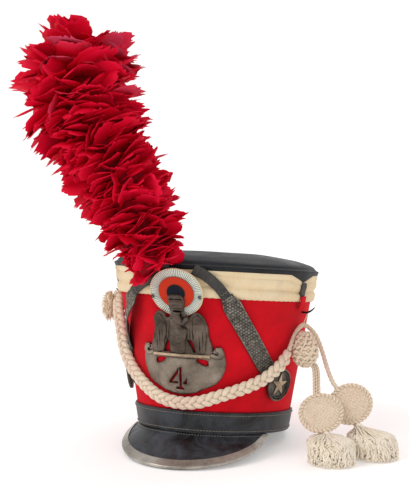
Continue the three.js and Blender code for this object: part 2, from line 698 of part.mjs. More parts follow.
// A lump of wound cord: a ball stretched to size, and wider below by a share
function lump(size, centre, detail, pear = 0) {
  const ball = new THREE.SphereGeometry(0.5, detail, Math.round(detail * 0.6)).rotateX(Math.PI / 2);
  return solid(reshaped(ball, (x, y, z) => {
    const swell = 1 - 2 * pear * z;
    return vec(x * size[0] * swell, y * size[1] * swell, z * size[2]).add(centre);
  }));
}

// A woven flounder hangs in the plane of its own slope: its middle, its way down and across
function flounderFrame({ centre, foot }) {
  const middle = at(centre);
  const down = at(foot).sub(middle).normalize();
  const across = vec(Math.cos(rad(viewTurn)), Math.sin(rad(viewTurn)), 0);
  const face = down.clone().cross(across).normalize();
  return { middle, down, face, side: face.clone().cross(down).normalize() };
}

// Half of the flounder's round outline: [share of its reach, share of half its thickness]
const flounderProfile = [[0, -1], [0.8, -1], [1, -0.4], [1, 0.4], [0.8, 1], [0, 1]];
const flounderSteps = 20;

function flounder(place) {
  const { middle, down, face, side } = flounderFrame(place);
  const rows = flounderProfile.map(([share, h]) => new THREE.Vector2(share, (h * flounderThick) / 2));
  const disc = new THREE.LatheGeometry(rows, flounderSteps);
  return solid(reshaped(disc, (x, y, z) => middle.clone()
    .addScaledVector(side, (x * flounderWidth) / 2)
    .addScaledVector(down, (z * flounderHeight) / 2)
    .addScaledVector(face, y)));
}

// A tassel's heap of threads: [share of half its width, share of its height]
const heapProfile = [[0, 0.97], [0.3, 0.94], [0.62, 0.68], [0.82, 0.2], [0.7, 0], [0, 0]];
// Locks over the heap, from its top to the table: [reach, height, width in millimetres]
const lockRows = [[0.4, 0.66, 10], [0.86, 0.4, 12], [1, 0.06, 5]];
const lockThick = 2.6;
const heapRipple = 0.06;
const heapDepthShare = 0.86;
const crestShare = { height: 0.75, toHead: 0.25 };
const neckShare = 0.36;

function tasselHeap([x, y]) {
  const rows = heapProfile.map(([r, h]) => new THREE.Vector2((r * tasselWidth) / 2, h * tasselHeight));
  return solid(reshaped(new THREE.LatheGeometry(rows, 2 * tasselLocks), (px, py, pz) => {
    const ripple = 1 + heapRipple * Math.cos(tasselLocks * Math.atan2(pz, px));
    return vec(x + px * ripple, y + pz * ripple * heapDepthShare, py);
  }));
}

function tasselLock([x, y], index, phase) {
  const angle = ((index + phase) * 2 * Math.PI) / tasselLocks;
  const outward = vec(Math.cos(angle), Math.sin(angle) * heapDepthShare, 0);
  const across = vec(-Math.sin(angle), Math.cos(angle), 0);
  const reach = (tasselWidth / 2) * (1 + heapRipple * Math.sin(index * 2.7 + phase) - heapRipple / 2);
  return sheet(lockRows.length - 1, 1, (u, v, side) => {
    const [out, height, width] = lockRows[Math.round(u * (lockRows.length - 1))];
    return vec(x, y, height * tasselHeight + (side - 0.5) * lockThick)
      .addScaledVector(outward, reach * out)
      .addScaledVector(across, (v - 0.5) * width);
  });
}

// A tassel: a head at the flounder's foot, and a heap of threads that spreads on the table
function tassel(place, hangsFrom, phase) {
  const { middle, down } = flounderFrame(hangsFrom);
  const head = middle.clone().addScaledVector(down, (flounderHeight + tasselHead) / 2 + gap);
  const crest = vec(...place, tasselHeight * crestShare.height).lerp(head, crestShare.toHead);
  return joined(tasselHeap(place), lump([tasselHead, tasselHead, tasselHead], head, 10),
    rod([head, crest], tasselHead * neckShare, 1, 7),
    ...Array.from({ length: tasselLocks }, (_, i) => tasselLock(place, i, phase)));
}

// Scene graph
function named(name, geometry, material) {
  const mesh = new THREE.Mesh(geometry, material);
  mesh.name = name;
  return mesh;
}

const hat = new THREE.Group();
hat.add(named('shell', shell(), redCloth));
hat.add(named('crown', crown(), leather));
hat.add(named('white_band_front', clothBand(-vTurn + bandPlay, vTurn - bandPlay, 20), creamCloth));
hat.add(named('white_band_back', clothBand(vTurn + bandPlay, 360 - vTurn - bandPlay, 22), creamCloth));
hat.add(named('head_band', headBand(), leather));
hat.add(named('peak', peak(), leather));
hat.add(named('peak_trim', peakTrim(), trimMetalLook));
hat.add(named('plate', plate(), pewter));
hat.add(named('cockade_outer', cockadeRing(1, cockadeHoleShare, 0, cockadeThick), whiteRibbon));
const middleRing = cockadeRing(ringShare.middle, cockadeHoleShare, cockadeThick + gap, ringThick.middle);
hat.add(named('cockade_middle', middleRing, orangeRibbon));
const centreLift = cockadeThick + ringThick.middle + 2 * gap;
hat.add(named('cockade_centre', cockadeRing(ringShare.centre, 0, centreLift, ringThick.centre), navyRibbon));
const bossOut = seat + strapPlay + strapThick + gap;
hat.add(seated(named('rosette_right', boss(), pewter), bossTurn, bossHeight, bossOut));
hat.add(seated(named('rosette_left', boss(), pewter), -bossTurn, bossHeight, bossOut));
for (const [side, word] of [[1, 'right'], [-1, 'left']]) {
  hat.add(named(`strap_${word}`, scaledStrap(word), mailLook));
  hat.add(named(`strap_end_${word}`, strapEnd(word), leather));
  hat.add(seated(named(`hook_${word}`, hook(), blackWire), side * hookTurn, bandFoot - hookDrop[word], 0));
  hat.add(named(`side_tab_${word}`, tab(side, leatherTabTop, leatherTabLength, 0), leather));
}
hat.add(named('red_tab', tab(1, redTabTop, redTabLength, tabThick + gap), redCloth));

// The sleeve that holds the plume, between the cockade's back and the band
const lowOut = bandPad + gap + socketRadius * socketShare.lowOut;
const highOut = skirtLip + gap + socketRadius * socketShare.highOut;
const socketLow = bodyPoint(rad(socketTurn.low), socketFoot, lowOut);
const socketHigh = bodyPoint(rad(socketTurn.high), socketFoot + socketLength, highOut);
const sleeve = new THREE.CylinderGeometry(socketRadius * socketShare.top, socketRadius * socketShare.bottom,
  socketLow.distanceTo(socketHigh), 12);
const socket = named('plume_socket', solid(sleeve), leather);
socket.position.copy(socketLow).lerp(socketHigh, 0.5);
socket.quaternion.setFromUnitVectors(vec(0, 1, 0), socketHigh.clone().sub(socketLow).normalize());
hat.add(socket);

// Tilt at which the back of the rim and the front of the peak's edge both touch the table
const restPoints = hat.getObjectByName('peak_trim').geometry.attributes.position;
const heel = bodyPoint(Math.PI, 0, seat + bandLeather);
let restTilt = 0;
for (let i = 0; i < restPoints.count; i += 1) {
  restTilt = Math.max(restTilt, Math.atan2(heel.z - restPoints.getZ(i), heel.y - restPoints.getY(i)));
}
hat.rotation.x = -restTilt;
hat.position.z = heel.y * Math.sin(restTilt);
hat.updateMatrixWorld(true);

const model = new THREE.Group();
model.add(hat);
const plumeMesh = named('plume', plume(), feather);
plumeMesh.position.copy(socketHigh).applyMatrix4(hat.matrixWorld).add(at(plumeFoot));
model.add(plumeMesh);

// Origin under the middle of the hat and its plume, without the cords
model.updateMatrixWorld(true);
const box = new THREE.Box3().setFromObject(model, true);
const boxMiddle = box.getCenter(vec());
model.position.set(-boxMiddle.x, -boxMiddle.y, -box.min.z);

hat.add(named('braid', braid(), cordCotton));
hat.add(named('tuft', lump(tuftSize, bodyPoint(rad(tuftTurn), tuftHeight, tuftOut), 10), cordCotton));
const cords = new THREE.Group();
cords.add(named('cord_round', rod(roundCordRoute.map(at), cordThick / 2, 20, 8), cordCotton));
cords.add(named('cord_flat', rod(flatCordRoute.map(at), cordThick / 2, 8, 8, flatCordShare), cordCotton));
cords.add(named('hook_string', rod(stringRoute.map(at), stringThick / 2, 4, 8), cordCotton));
cords.add(named('knot', lump(knotSize, at(knotPlace), 12, knotPear), cordCotton));
cords.add(named('raquette_a', flounder(flounderA), cordCotton));
cords.add(named('raquette_b', flounder(flounderB), cordCotton));
cords.add(named('tassel_a', tassel(tasselPlaceA, flounderA, 0.2), cordCotton));
cords.add(named('tassel_b', tassel(tasselPlaceB, flounderB, 0.6), cordCotton));
model.add(cords);

export default model;
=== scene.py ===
# %% [markdown]
# # A parade shako, dressed in Blender
#
# A shako is a stiff hat that widens towards its top. This one stands on a table, so it leans
# back on the edge of its head band and the front of its peak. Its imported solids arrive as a
# fixed frame. Every cell below makes one finer piece in the place of one of those solids.

# %% Load the frame and keep its box
import math
import random

import bmesh
import bpy
import numpy as np
from mathutils import Matrix, Vector, noise


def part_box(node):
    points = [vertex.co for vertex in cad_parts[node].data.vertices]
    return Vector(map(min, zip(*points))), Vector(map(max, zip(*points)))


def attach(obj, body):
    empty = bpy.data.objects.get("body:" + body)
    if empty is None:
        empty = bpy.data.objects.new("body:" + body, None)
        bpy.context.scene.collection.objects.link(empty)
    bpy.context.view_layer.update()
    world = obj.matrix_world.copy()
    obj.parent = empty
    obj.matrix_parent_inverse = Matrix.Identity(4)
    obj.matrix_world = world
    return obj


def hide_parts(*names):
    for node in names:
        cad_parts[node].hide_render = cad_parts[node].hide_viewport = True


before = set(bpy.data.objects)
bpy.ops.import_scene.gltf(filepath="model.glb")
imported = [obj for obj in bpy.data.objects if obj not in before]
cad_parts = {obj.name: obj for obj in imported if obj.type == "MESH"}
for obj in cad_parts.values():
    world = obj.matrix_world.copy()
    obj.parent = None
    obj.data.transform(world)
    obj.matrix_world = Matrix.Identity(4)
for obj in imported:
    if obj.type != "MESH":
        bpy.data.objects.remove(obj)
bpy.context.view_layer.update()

# %% [markdown]
# ## Sizes and the two frames
#
# The hat's pieces are worked out in millimetres in the hat's own frame: height 0 is the lower
# edge of the head band and turn 0 is the front. The loose cords are worked out in the table's
# frame. Two small functions bring both to the frame of the solids, in metres. The knot's
# solid shows where the table's frame lies, because its middle is a known point there.

# %% Sizes in millimetres
MM = 0.001
HEAD_WIDTH = 168
HEAD_LENGTH = 196
CROWN_DIAMETER = 232
BODY_HEIGHT = 185
CROWN_FORWARD = 20
FELT_WALL = 2.4
SEAT = 0.548
BAND_LEATHER = 2
REST_TILT = math.radians(8.7411)
HEEL = HEAD_LENGTH / 2 + SEAT + BAND_LEATHER
KNOT_PLACE = (118.5, -22.2, 118.5)

knot_low, knot_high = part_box("knot")
knot_middle = (knot_low + knot_high) / 2
table_shift = Vector((knot_middle.x - KNOT_PLACE[0] * MM, knot_middle.y - KNOT_PLACE[1] * MM, 0))


def on_table(point):
    """A point in the table's frame, in mm, as a point of the solids' frame, in metres."""
    return Vector(point) * MM + table_shift


def on_hat(point):
    """A point in the hat's own frame, in mm, as a point of the solids' frame, in metres."""
    x, y, z = point
    across = y * math.cos(REST_TILT) + z * math.sin(REST_TILT)
    up = -y * math.sin(REST_TILT) + z * math.cos(REST_TILT) + HEEL * math.sin(REST_TILT)
    return on_table((x, across, up))


def mix(a, b, share):
    return a + (b - a) * share


def smooth(value, low, high):
    """0 below low, 1 above high, and an even S between."""
    t = min(max((value - low) / (high - low), 0), 1)
    return t * t * (3 - 2 * t)


def oval(height):
    """Half width, half length and forward shift of the body at a height."""
    share = height / BODY_HEIGHT
    half_width = mix(HEAD_WIDTH / 2, CROWN_DIAMETER / 2, share)
    half_length = mix(HEAD_LENGTH / 2, CROWN_DIAMETER / 2, share)
    return half_width, half_length, CROWN_FORWARD * share


def body_point(turn, height, out=0.0):
    """The point on the body at a turn in radians and a height, moved out by some mm."""
    half_width, half_length, forward = oval(height)
    x = (half_width + out) * math.sin(turn)
    y = -(half_length + out) * math.cos(turn) - forward
    return Vector((x, y, height))


def body_normal(turn, height):
    side = body_point(turn + 0.01, height) - body_point(turn - 0.01, height)
    up = body_point(turn, height + 1) - body_point(turn, height - 1)
    return side.cross(up).normalized()


print("table frame shift, m:", list(table_shift))

# %% [markdown]
# ## Camera
#
# The photograph looks slightly down on the hat, from 21 degrees to the side and 11.4 degrees
# up. The camera stands 1.67 m from a point on the hat's axis. It comes first, because the flat
# cord and the woven discs are set out along its side direction. It is turned rather than
# shifted, so the other views keep a plain lens.

# %% Camera at the photograph's angle
PHOTO_WIDTH, PHOTO_HEIGHT = 410, 486
CAMERA_TURN = math.radians(21)
CAMERA_RISE = math.radians(11.4)
CAMERA_DISTANCE = 1670
CAMERA_TARGET = (0, 0, 110)
TARGET_PIXEL = (213.9, 345)
FOCAL_PIXELS = 1423
SENSOR = 36

back = Vector((
    math.sin(CAMERA_TURN) * math.cos(CAMERA_RISE),
    -math.cos(CAMERA_TURN) * math.cos(CAMERA_RISE),
    math.sin(CAMERA_RISE),
))
camera_data = bpy.data.cameras.new("photo_camera")
camera_data.sensor_width = SENSOR
camera_data.lens = FOCAL_PIXELS / PHOTO_HEIGHT * SENSOR
camera_data.clip_start = 0.05
camera_data.clip_end = 30
camera = bpy.data.objects.new("photo_camera", camera_data)
camera.location = on_table(CAMERA_TARGET) + back * CAMERA_DISTANCE * MM
aim = back.to_track_quat("Z", "Y")
yaw = math.atan((TARGET_PIXEL[0] - PHOTO_WIDTH / 2) / FOCAL_PIXELS)
pitch = math.atan((TARGET_PIXEL[1] - PHOTO_HEIGHT / 2) / FOCAL_PIXELS)
turned = aim.to_matrix() @ Matrix.Rotation(pitch, 3, "X") @ Matrix.Rotation(yaw, 3, "Y")
camera.rotation_euler = turned.to_euler()
bpy.context.scene.collection.objects.link(camera)
bpy.context.scene.camera = camera
print("camera at", [round(v, 3) for v in camera.location])

# %% [markdown]
# ## A floor and soft light
#
# The hat was photographed on a white table in a white tent: light from all round, a little
# more from the upper left, and a soft shadow under the peak. A white world gives the tent,
# and two large lamps give the direction. The floor bends up behind, so no edge shows.

# %% Floor, world and lamps
def linear(hex_colour):
    """An sRGB colour such as #c8102a as linear red, green, blue and full alpha."""
    text = hex_colour.lstrip("#")
    shares = [int(text[i:i + 2], 16) / 255 for i in (0, 2, 4)]
    return [c / 12.92 if c <= 0.04045 else ((c + 0.055) / 1.055) ** 2.4 for c in shares] + [1.0]


def feed(node, inputs):
    """Links or sets a node's inputs, by name or number. A text is an sRGB colour."""
    for socket, value in inputs.items():
        if isinstance(value, bpy.types.NodeSocket):
            node.id_data.links.new(value, node.inputs[socket])
        else:
            node.inputs[socket].default_value = linear(value) if isinstance(value, str) else value


def add_node(tree, kind, inputs, output=None, stops=(), **settings):
    """Adds a node with its settings, inputs and colour stops. Gives its named or first output."""
    made = tree.nodes.new("ShaderNode" + kind)
    for key, value in settings.items():
        setattr(made, key, value)
    feed(made, inputs)
    for number, (position, colour) in enumerate(stops):
        elements = made.color_ramp.elements
        stop = elements[number] if number < 2 else elements.new(position)
        stop.position = position
        stop.color = linear(colour)
    return made.outputs[output] if output else next(one for one in made.outputs if one.enabled)


def new_material(name, base, roughness, **shader):
    """A material with one Principled shader. shader holds more of its inputs by name."""
    material = bpy.data.materials.new(name)
    material.use_nodes = True
    tree = material.node_tree
    tree.nodes.clear()
    surface = add_node(tree, "BsdfPrincipled", {"Base Color": base, "Roughness": roughness}).node
    feed(surface, {key.replace("_", " "): value for key, value in shader.items()})
    feed(tree.nodes.new("ShaderNodeOutputMaterial"), {"Surface": surface.outputs[0]})
    return material, tree, surface


FLOOR_HALF = 2.4
FLOOR_CELLS = 24
FLOOR_BEND = 0.9
FLOOR_RISE = 0.6
PAPER_GLOW = 0.28
WORLD_GLOW = 0.62

# The tent's paper glows a little, as its lamps stand behind it
paper_white = new_material("matt_paper_backdrop", "#f4f1f0", 0.95, Emission_Color="#ffffff",
                           Emission_Strength=PAPER_GLOW)[0]
bm = bmesh.new()
bmesh.ops.create_grid(bm, x_segments=FLOOR_CELLS, y_segments=FLOOR_CELLS, size=FLOOR_HALF)
for vert in bm.verts:
    if vert.co.y > FLOOR_BEND:
        past = vert.co.y - FLOOR_BEND
        vert.co.z = past ** 2 * FLOOR_RISE
floor_mesh = bpy.data.meshes.new("studio_floor")
bm.to_mesh(floor_mesh)
bm.free()
for face in floor_mesh.polygons:
    face.use_smooth = True
floor = bpy.data.objects.new("studio_floor", floor_mesh)
floor.data.materials.append(paper_white)
bpy.context.scene.collection.objects.link(floor)

world = bpy.data.worlds.new("white_tent")
world.use_nodes = True
feed(world.node_tree.nodes["Background"], {"Color": "#ffffff", "Strength": WORLD_GLOW})
bpy.context.scene.world = world

# Plain sRGB, so that the colours below come out as the photograph has them
bpy.context.scene.view_settings.view_transform = "Standard"

LAMPS = [
    # name, place m, aim m, size m, watts
    ("key_upper_left", (-1.1, -1.3, 1.9), (0, 0, 0.2), 1.2, 21),
    ("fill_front_right", (1.6, -1.8, 0.9), (0, 0, 0.2), 1.6, 5),
    ("top_behind", (0.2, 1.2, 1.9), (0, 0, 0.2), 1.4, 7),
]
for name, place, target, size, watts in LAMPS:
    lamp = bpy.data.lights.new(name, "AREA")
    lamp.energy = watts
    lamp.size = size
    lamp_object = bpy.data.objects.new(name, lamp)
    lamp_object.location = place
    lamp_object.rotation_euler = (Vector(place) - Vector(target)).to_track_quat("Z", "Y").to_euler()
    bpy.context.scene.collection.objects.link(lamp_object)

# %% [markdown]
# ## How the pieces are made
#
# Most of the hat is sheet goods: cloth, leather and thin metal that follow a form. Each one
# starts as a flat bmesh grid, whose corners run from 0 to 1 both ways. A short function then
# places every corner on the hat, and extruding the faces gives the sheet its thickness.
# Round goods are spun from half an outline. A UV map in millimetres goes along, so a weave
# or a stitch keeps its real size.

# %% Helpers for sheets, spun forms and tubes
WELD_REACH = 0.02 * MM


def finish(bm, name, material, replaces=(), sharp=35, recalculate=True):
    """Closes a bmesh as one object that rides on the hat."""
    bmesh.ops.remove_doubles(bm, verts=bm.verts, dist=WELD_REACH)
    rims = [edge for edge in bm.edges if edge.is_boundary]
    bmesh.ops.holes_fill(bm, edges=rims, sides=0)
    if recalculate:
        bmesh.ops.recalc_face_normals(bm, faces=bm.faces)
    mesh = bpy.data.meshes.new(name)
    bm.to_mesh(mesh)
    bm.free()
    for face in mesh.polygons:
        face.use_smooth = True
    if sharp:
        mesh.set_sharp_from_angle(angle=math.radians(sharp))
    piece = bpy.data.objects.new(name, mesh)
    bpy.context.scene.collection.objects.link(piece)
    for one in material if isinstance(material, (list, tuple)) else [material]:
        mesh.materials.append(one)
    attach(piece, "root")
    if replaces:
        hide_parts(*replaces)
    print(name, len(mesh.polygons), "faces")
    return piece


def flat_grid(bm, cells_u, cells_v, size=(1, 1)):
    """A grid from (0, 0) to (1, 1) in a bmesh, with a UV map of the given size in mm."""
    uv = bm.loops.layers.uv.verify()
    made = bmesh.ops.create_grid(bm, x_segments=cells_u, y_segments=cells_v, size=0.5)["verts"]
    bmesh.ops.translate(bm, verts=made, vec=(0.5, 0.5, 0))
    faces = {face for vert in made for face in vert.link_faces}
    for face in faces:
        for loop in face.loops:
            loop[uv].uv = (loop.vert.co.x * size[0], loop.vert.co.y * size[1])
    return made, list(faces)


def sheet(bm, cells_u, cells_v, place, size=(1, 1)):
    """A sheet with thickness: place(u, v, side) gives a corner, side 0 behind and 1 in front."""
    made, faces = flat_grid(bm, cells_u, cells_v, size)
    shares = {vert: (vert.co.x, vert.co.y) for vert in made}
    front = bmesh.ops.extrude_face_region(bm, geom=faces)["geom"]
    twins = [item for item in front if isinstance(item, bmesh.types.BMVert)]
    for vert in twins:
        vert.co = place(vert.co.x, vert.co.y, 1)
    for vert, (u, v) in shares.items():
        vert.co = place(u, v, 0)


def spun(bm, profile, steps, place, inside=0, shift=None):
    """Spins rows of (radius, height) once round and moves each corner by place(turn, r, h),
    then by shift. Faces nearer the axis than inside take the second material."""
    verts = [bm.verts.new((0, -r, h)) for r, h in profile]
    edges = [bm.edges.new(pair) for pair in zip(verts, verts[1:])]
    bmesh.ops.spin(bm, geom=verts + edges, cent=(0, 0, 0), axis=(0, 0, 1), dvec=(0, 0, 0),
                   angle=math.tau, steps=steps, use_merge=True, use_duplicate=False)
    bmesh.ops.remove_doubles(bm, verts=bm.verts, dist=1e-4)
    uv = bm.loops.layers.uv.verify()
    for face in bm.faces:
        centre = face.calc_center_median()
        face.material_index = 1 if math.hypot(centre.x, centre.y) < inside else 0
        middle = math.atan2(centre.x, -centre.y)
        for loop in face.loops:
            turn = math.atan2(loop.vert.co.x, -loop.vert.co.y)
            turn += math.tau * round((middle - turn) / math.tau)
            loop[uv].uv = (turn * CROWN_DIAMETER / 2, loop.vert.co.z)
    for vert in bm.verts:
        radius = math.hypot(vert.co.x, vert.co.y)
        turn = math.atan2(vert.co.x, -vert.co.y) if radius > 1e-6 else 0
        vert.co = place(turn, radius, vert.co.z)
        if shift:
            vert.co = shift(vert.co)


def curve_point(a, b, c, d, t):
    """The point at a share t from b to c on the Catmull-Rom curve through the four."""
    return 0.5 * (2 * b + (c - a) * t + (2 * a - 5 * b + 4 * c - d) * t ** 2
                  + (3 * b - a - 3 * c + d) * t ** 3)


def even(points, count=0, step=0):
    """The same curve in count even parts, or in parts about a step long, and its length."""
    points = np.array(points, float)
    gone = np.concatenate([[0], np.cumsum(np.linalg.norm(np.diff(points, axis=0), axis=1))])
    marks = np.linspace(0, gone[-1], (count or max(int(gone[-1] / step), 2)) + 1)
    return np.stack([np.interp(marks, gone, column) for column in points.T], axis=1), gone[-1]


def spline(points, count):
    """count + 1 even points of a Catmull-Rom curve through the given ones, as an array."""
    rows = np.array(points, float)
    rows = np.vstack([2 * rows[0] - rows[1], rows, 2 * rows[-1] - rows[-2]])
    fine = [curve_point(*rows[i - 1:i + 3], t) for i in range(1, len(rows) - 2)
            for t in np.linspace(0, 1, 24, endpoint=False)]
    return even(fine + [rows[-2]], count)[0]


def ways(points):
    steps = np.gradient(points, axis=0)
    return steps / np.linalg.norm(steps, axis=1)[:, None]


def carried(up, forward):
    """An up for each way of a line, carried along it with as little turn as possible."""
    ups = [up]
    for way in forward[1:]:
        ups.append(ups[-1] - way * np.dot(ups[-1], way))
    return ups


def tube(bm, points, radius, sides=8, ups=None, ridge=None, tip=1.0):
    """A closed tube along points. radius is a number or a function of the share along it.
    ups turns the section, ridge(share, angle) swells it, and tip narrows its last ring."""
    points = np.asarray(points, float)
    forward = ways(points)
    if ups is None:
        start = (0, 0, 1.0) if abs(forward[0][2]) < 0.9 else (1.0, 0, 0)
        ups = carried(np.array(start), forward)
    count = len(points) - 1
    length = float(np.sum(np.linalg.norm(np.diff(points, axis=0), axis=1)))
    made, _ = flat_grid(bm, count, sides, (length / MM, 1))
    for vert in made:
        row = round(vert.co.x * count)
        share = row / count
        angle = vert.co.y * math.tau
        way = forward[row]
        up = np.asarray(ups[row], float)
        up = up - way * np.dot(up, way)
        up /= np.linalg.norm(up)
        side = np.cross(way, up)
        reach = radius(share) if callable(radius) else radius
        reach *= ridge(share, angle) if ridge else 1
        reach *= tip if row == count else 1
        vert.co = Vector(points[row] + reach * (math.cos(angle) * side + math.sin(angle) * up))
    bmesh.ops.remove_doubles(bm, verts=made, dist=1e-7)
    rims = {edge for vert in made if vert.is_valid for edge in vert.link_edges if edge.is_boundary}
    bmesh.ops.holes_fill(bm, edges=list(rims), sides=0)


def joined(bm, part):
    """Adds a small bmesh to a larger one. Small ones are made first, as their steps run faster."""
    mesh = bpy.data.meshes.new("part")
    part.to_mesh(mesh)
    part.free()
    bm.from_mesh(mesh)
    bpy.data.meshes.remove(mesh)


def own_tube(bm, points, radius, **settings):
    """The same tube, made in a bmesh of its own."""
    strand = bmesh.new()
    tube(strand, points, radius, **settings)
    joined(bm, strand)


# %% [markdown]
# ## Red broadcloth over the stiff body
#
# Broadcloth is woven wool that has been milled until a felted nap hides most of the weave.
# So the eye gets a deep, almost matt red, a soft edge glow, a faint weave and small clouds
# of darker and brighter red where the nap lies differently. The weave here is drawn at 0.9 mm
# instead of the real 0.4 mm, because finer threads would vanish in the render.

# %% Wool broadcloth, red
WEAVE_MM = 0.9


def shade_and_dirt_in_hollows(tree, colour, dirt, reach_mm, low, high, most):
    """Painted shade, with some dirt, in hollows: its share falls from most to 0 as they open from low to
    high.
    """
    hollow = add_node(tree, "AmbientOcclusion", {"Distance": reach_mm * MM}, "AO", samples=6)
    share = add_node(tree, "MapRange", {"Value": hollow, "From Min": low, "From Max": high,
                                        "To Min": most, "To Max": 0})
    return add_node(tree, "Mix", {"Factor": share, "A": colour, "B": dirt}, data_type="RGBA")


def cloth(name, base, dark, light, weave_mm, bump_mm, stain=None, shade_and_dust=None):
    """Milled woven wool: clouds of tone, a plain weave in the bump, and a nap's sheen."""
    material, tree, surface = new_material(name, base, 0.92, Specular_IOR_Level=0.25, Sheen_Weight=0.25,
                                           Sheen_Roughness=0.5, Sheen_Tint=light)
    spot = add_node(tree, "TexCoord", {}, "Object")
    clouds = add_node(tree, "TexNoise", {"Vector": spot, "Scale": 28, "Detail": 6, "Roughness": 0.6})
    tones = add_node(tree, "ValToRGB", {"Fac": clouds}, stops=((0.3, dark), (0.68, base)))
    flecks = add_node(tree, "TexNoise", {"Vector": spot, "Scale": 900, "Detail": 2})
    colour = add_node(tree, "Mix", {"Factor": flecks, "A": tones, "B": light},
                      data_type="RGBA", blend_type="SOFT_LIGHT")
    if stain:
        spots = add_node(tree, "TexNoise", {"Vector": spot, "Scale": 14, "Detail": 7, "Roughness": 0.7})
        where = add_node(tree, "MapRange", {"Value": spots, "From Min": 0.5, "From Max": 0.72, "To Max": 0.6})
        colour = add_node(tree, "Mix", {"Factor": where, "A": colour, "B": stain}, data_type="RGBA")
    if shade_and_dust:
        # Painted shade and old dust darken the corners, next to what lies on the cloth
        colour = shade_and_dirt_in_hollows(tree, colour, shade_and_dust, 5, 0.2, 0.8, 0.85)
    threads = add_node(tree, "UVMap", {}, uv_map="UVMap")
    warp, weft = [add_node(tree, "TexWave", {"Vector": threads, "Scale": math.tau / weave_mm / 20,
                                             "Distortion": 0.6}, "Fac", bands_direction=axis)
                  for axis in "XY"]
    woven = add_node(tree, "Math", {0: warp, 1: weft}, operation="MULTIPLY")
    fuzz = add_node(tree, "Math", {0: woven, 1: flecks}, operation="ADD")
    relief = add_node(tree, "Bump", {"Height": fuzz, "Strength": 0.5, "Distance": bump_mm * MM})
    feed(surface, {"Base Color": colour, "Normal": relief})
    return material


# The red's last colour is painted shade, with some dust, where things press on the cloth
broadcloth_red = cloth("wool_broadcloth_red", "#cc0526", "#a8041c", "#ee2a3c", WEAVE_MM, 0.25,
                       shade_and_dust="#3c0409")
felt_grey = cloth("wool_felt_lining_face", "#8d8377", "#6f665c", "#b8aea0", WEAVE_MM, 0.4)

# %% [markdown]
# The body is felt, hidden by the cloth outside and bare inside. Both are one closed wall that
# is spun round the hat's axis. The cloth isn't glued down all over, so it gets very shallow
# waves. The inner faces take the felt's own finish.

# %% Body: cloth outside, felt inside
CLOTH_WAVE = 0.35
BODY_STEPS = 200
WALL_LOW, WALL_HIGH = 0.4, BODY_HEIGHT - 1.5
outer = [(0, h) for h in np.linspace(WALL_LOW, WALL_HIGH, 44)]
inner = [(-FELT_WALL, h) for h in np.linspace(WALL_HIGH, WALL_LOW, 14)]
nominal = CROWN_DIAMETER / 2


def cloth_wave(turn, height):
    """Shallow waves of the cloth, nothing at the lower edge and under the white band."""
    loose = smooth(height, 22, 60) * (1 - smooth(height, 130, 150))
    soft = noise.noise(Vector((math.sin(turn) * 3, math.cos(turn) * 3, height * 0.012)))
    pull = math.sin(turn * 46 + height * 0.05) * 0.3 * (1 - smooth(height, 24, 60))
    return CLOTH_WAVE * (soft * loose + pull)


def body_spot(turn, radius, height):
    wave = cloth_wave(turn, height) if radius > nominal - 1 else 0
    return body_point(turn, height, radius - nominal + wave)


bm = bmesh.new()
spun(bm, [(nominal + out, h) for out, h in outer + inner + outer[:1]], BODY_STEPS, body_spot,
     nominal - 1, on_hat)
finish(bm, "body_broadcloth", (broadcloth_red, felt_grey), ("shell",))

# %% [markdown]
# ## Blacked leather
#
# Crown, head band, peak and tabs are leather, blacked and waxed. It shines softly, with fine
# pebble grain, long scuffs and a blue-grey bloom where the blacking is rubbed. The grain is
# 0.8 mm, somewhat coarser than calf. Scuffs change the roughness more than the colour.

# %% Blacked leather
GRAIN_MM = 0.8


def leather(name, base, rubbed, roughness, scuff_scale, coat, shine=0.5):
    """Waxed hide: pebble grain and creases in the bump, and scuffs that dull it."""
    material, tree, surface = new_material(name, base, roughness, Specular_IOR_Level=shine,
                                           Coat_Weight=coat, Coat_Roughness=0.3)
    spot = add_node(tree, "TexCoord", {}, "Object")
    scuffs = add_node(tree, "TexNoise", {"Vector": spot, "Scale": scuff_scale, "Detail": 9,
                                         "Roughness": 0.72, "Distortion": 0.8})
    worn = add_node(tree, "MapRange", {"Value": scuffs, "From Min": 0.42, "From Max": 0.75})
    tone = add_node(tree, "Mix", {"Factor": worn, "A": base, "B": rubbed}, data_type="RGBA")
    polish = add_node(tree, "MapRange", {"Value": scuffs, "From Min": 0.3, "From Max": 0.7,
                                         "To Min": roughness - 0.14, "To Max": roughness + 0.2})
    grain = add_node(tree, "TexVoronoi", {"Vector": spot, "Scale": 1 / (GRAIN_MM * MM)}, "Distance")
    creases = add_node(tree, "TexNoise", {"Vector": spot, "Scale": 90, "Detail": 5, "Distortion": 1.2})
    both = add_node(tree, "Math", {0: grain, 1: creases}, operation="ADD")
    relief = add_node(tree, "Bump", {"Height": both, "Strength": 0.35, "Distance": 0.3 * MM})
    feed(surface, {"Base Color": tone, "Roughness": polish, "Normal": relief})
    return material


leather_black = leather("blacked_cowhide", "#111113", "#4a5058", 0.46, 26.0, 0.05, 0.35)
leather_matt = leather("blacked_strap_leather", "#272523", "#57524c", 0.6, 60.0, 0.0)
linen_grey = new_material("waxed_linen_thread", "#8f877a", 0.8)[0]

# %% [markdown]
# The head band is a strip of leather round the lower edge, sewn through with one row of
# stitches near each edge. Each stitch is a small bent bar, 2.6 mm long. A stitch is repeated
# some hundreds of times, so it has few faces.

# %% Head band with its two rows of stitches
HEAD_BAND_HEIGHT = 24
STITCH_LENGTH = 2.6
STITCH_PITCH = 3.6
STITCH_ROWS = (3.0, HEAD_BAND_HEIGHT - 3.2)


def stitch(bm, start, end, out, radius=0.36):
    """One stitch between two points of a surface, raised in its middle along out."""
    a, b = Vector(start), Vector(end)
    middle = (a + b) / 2 + Vector(out).normalized() * radius * 1.6 * MM
    dip = Vector(out).normalized() * radius * 0.5 * MM
    tube(bm, [a - dip, middle, b - dip], radius * MM, sides=6)


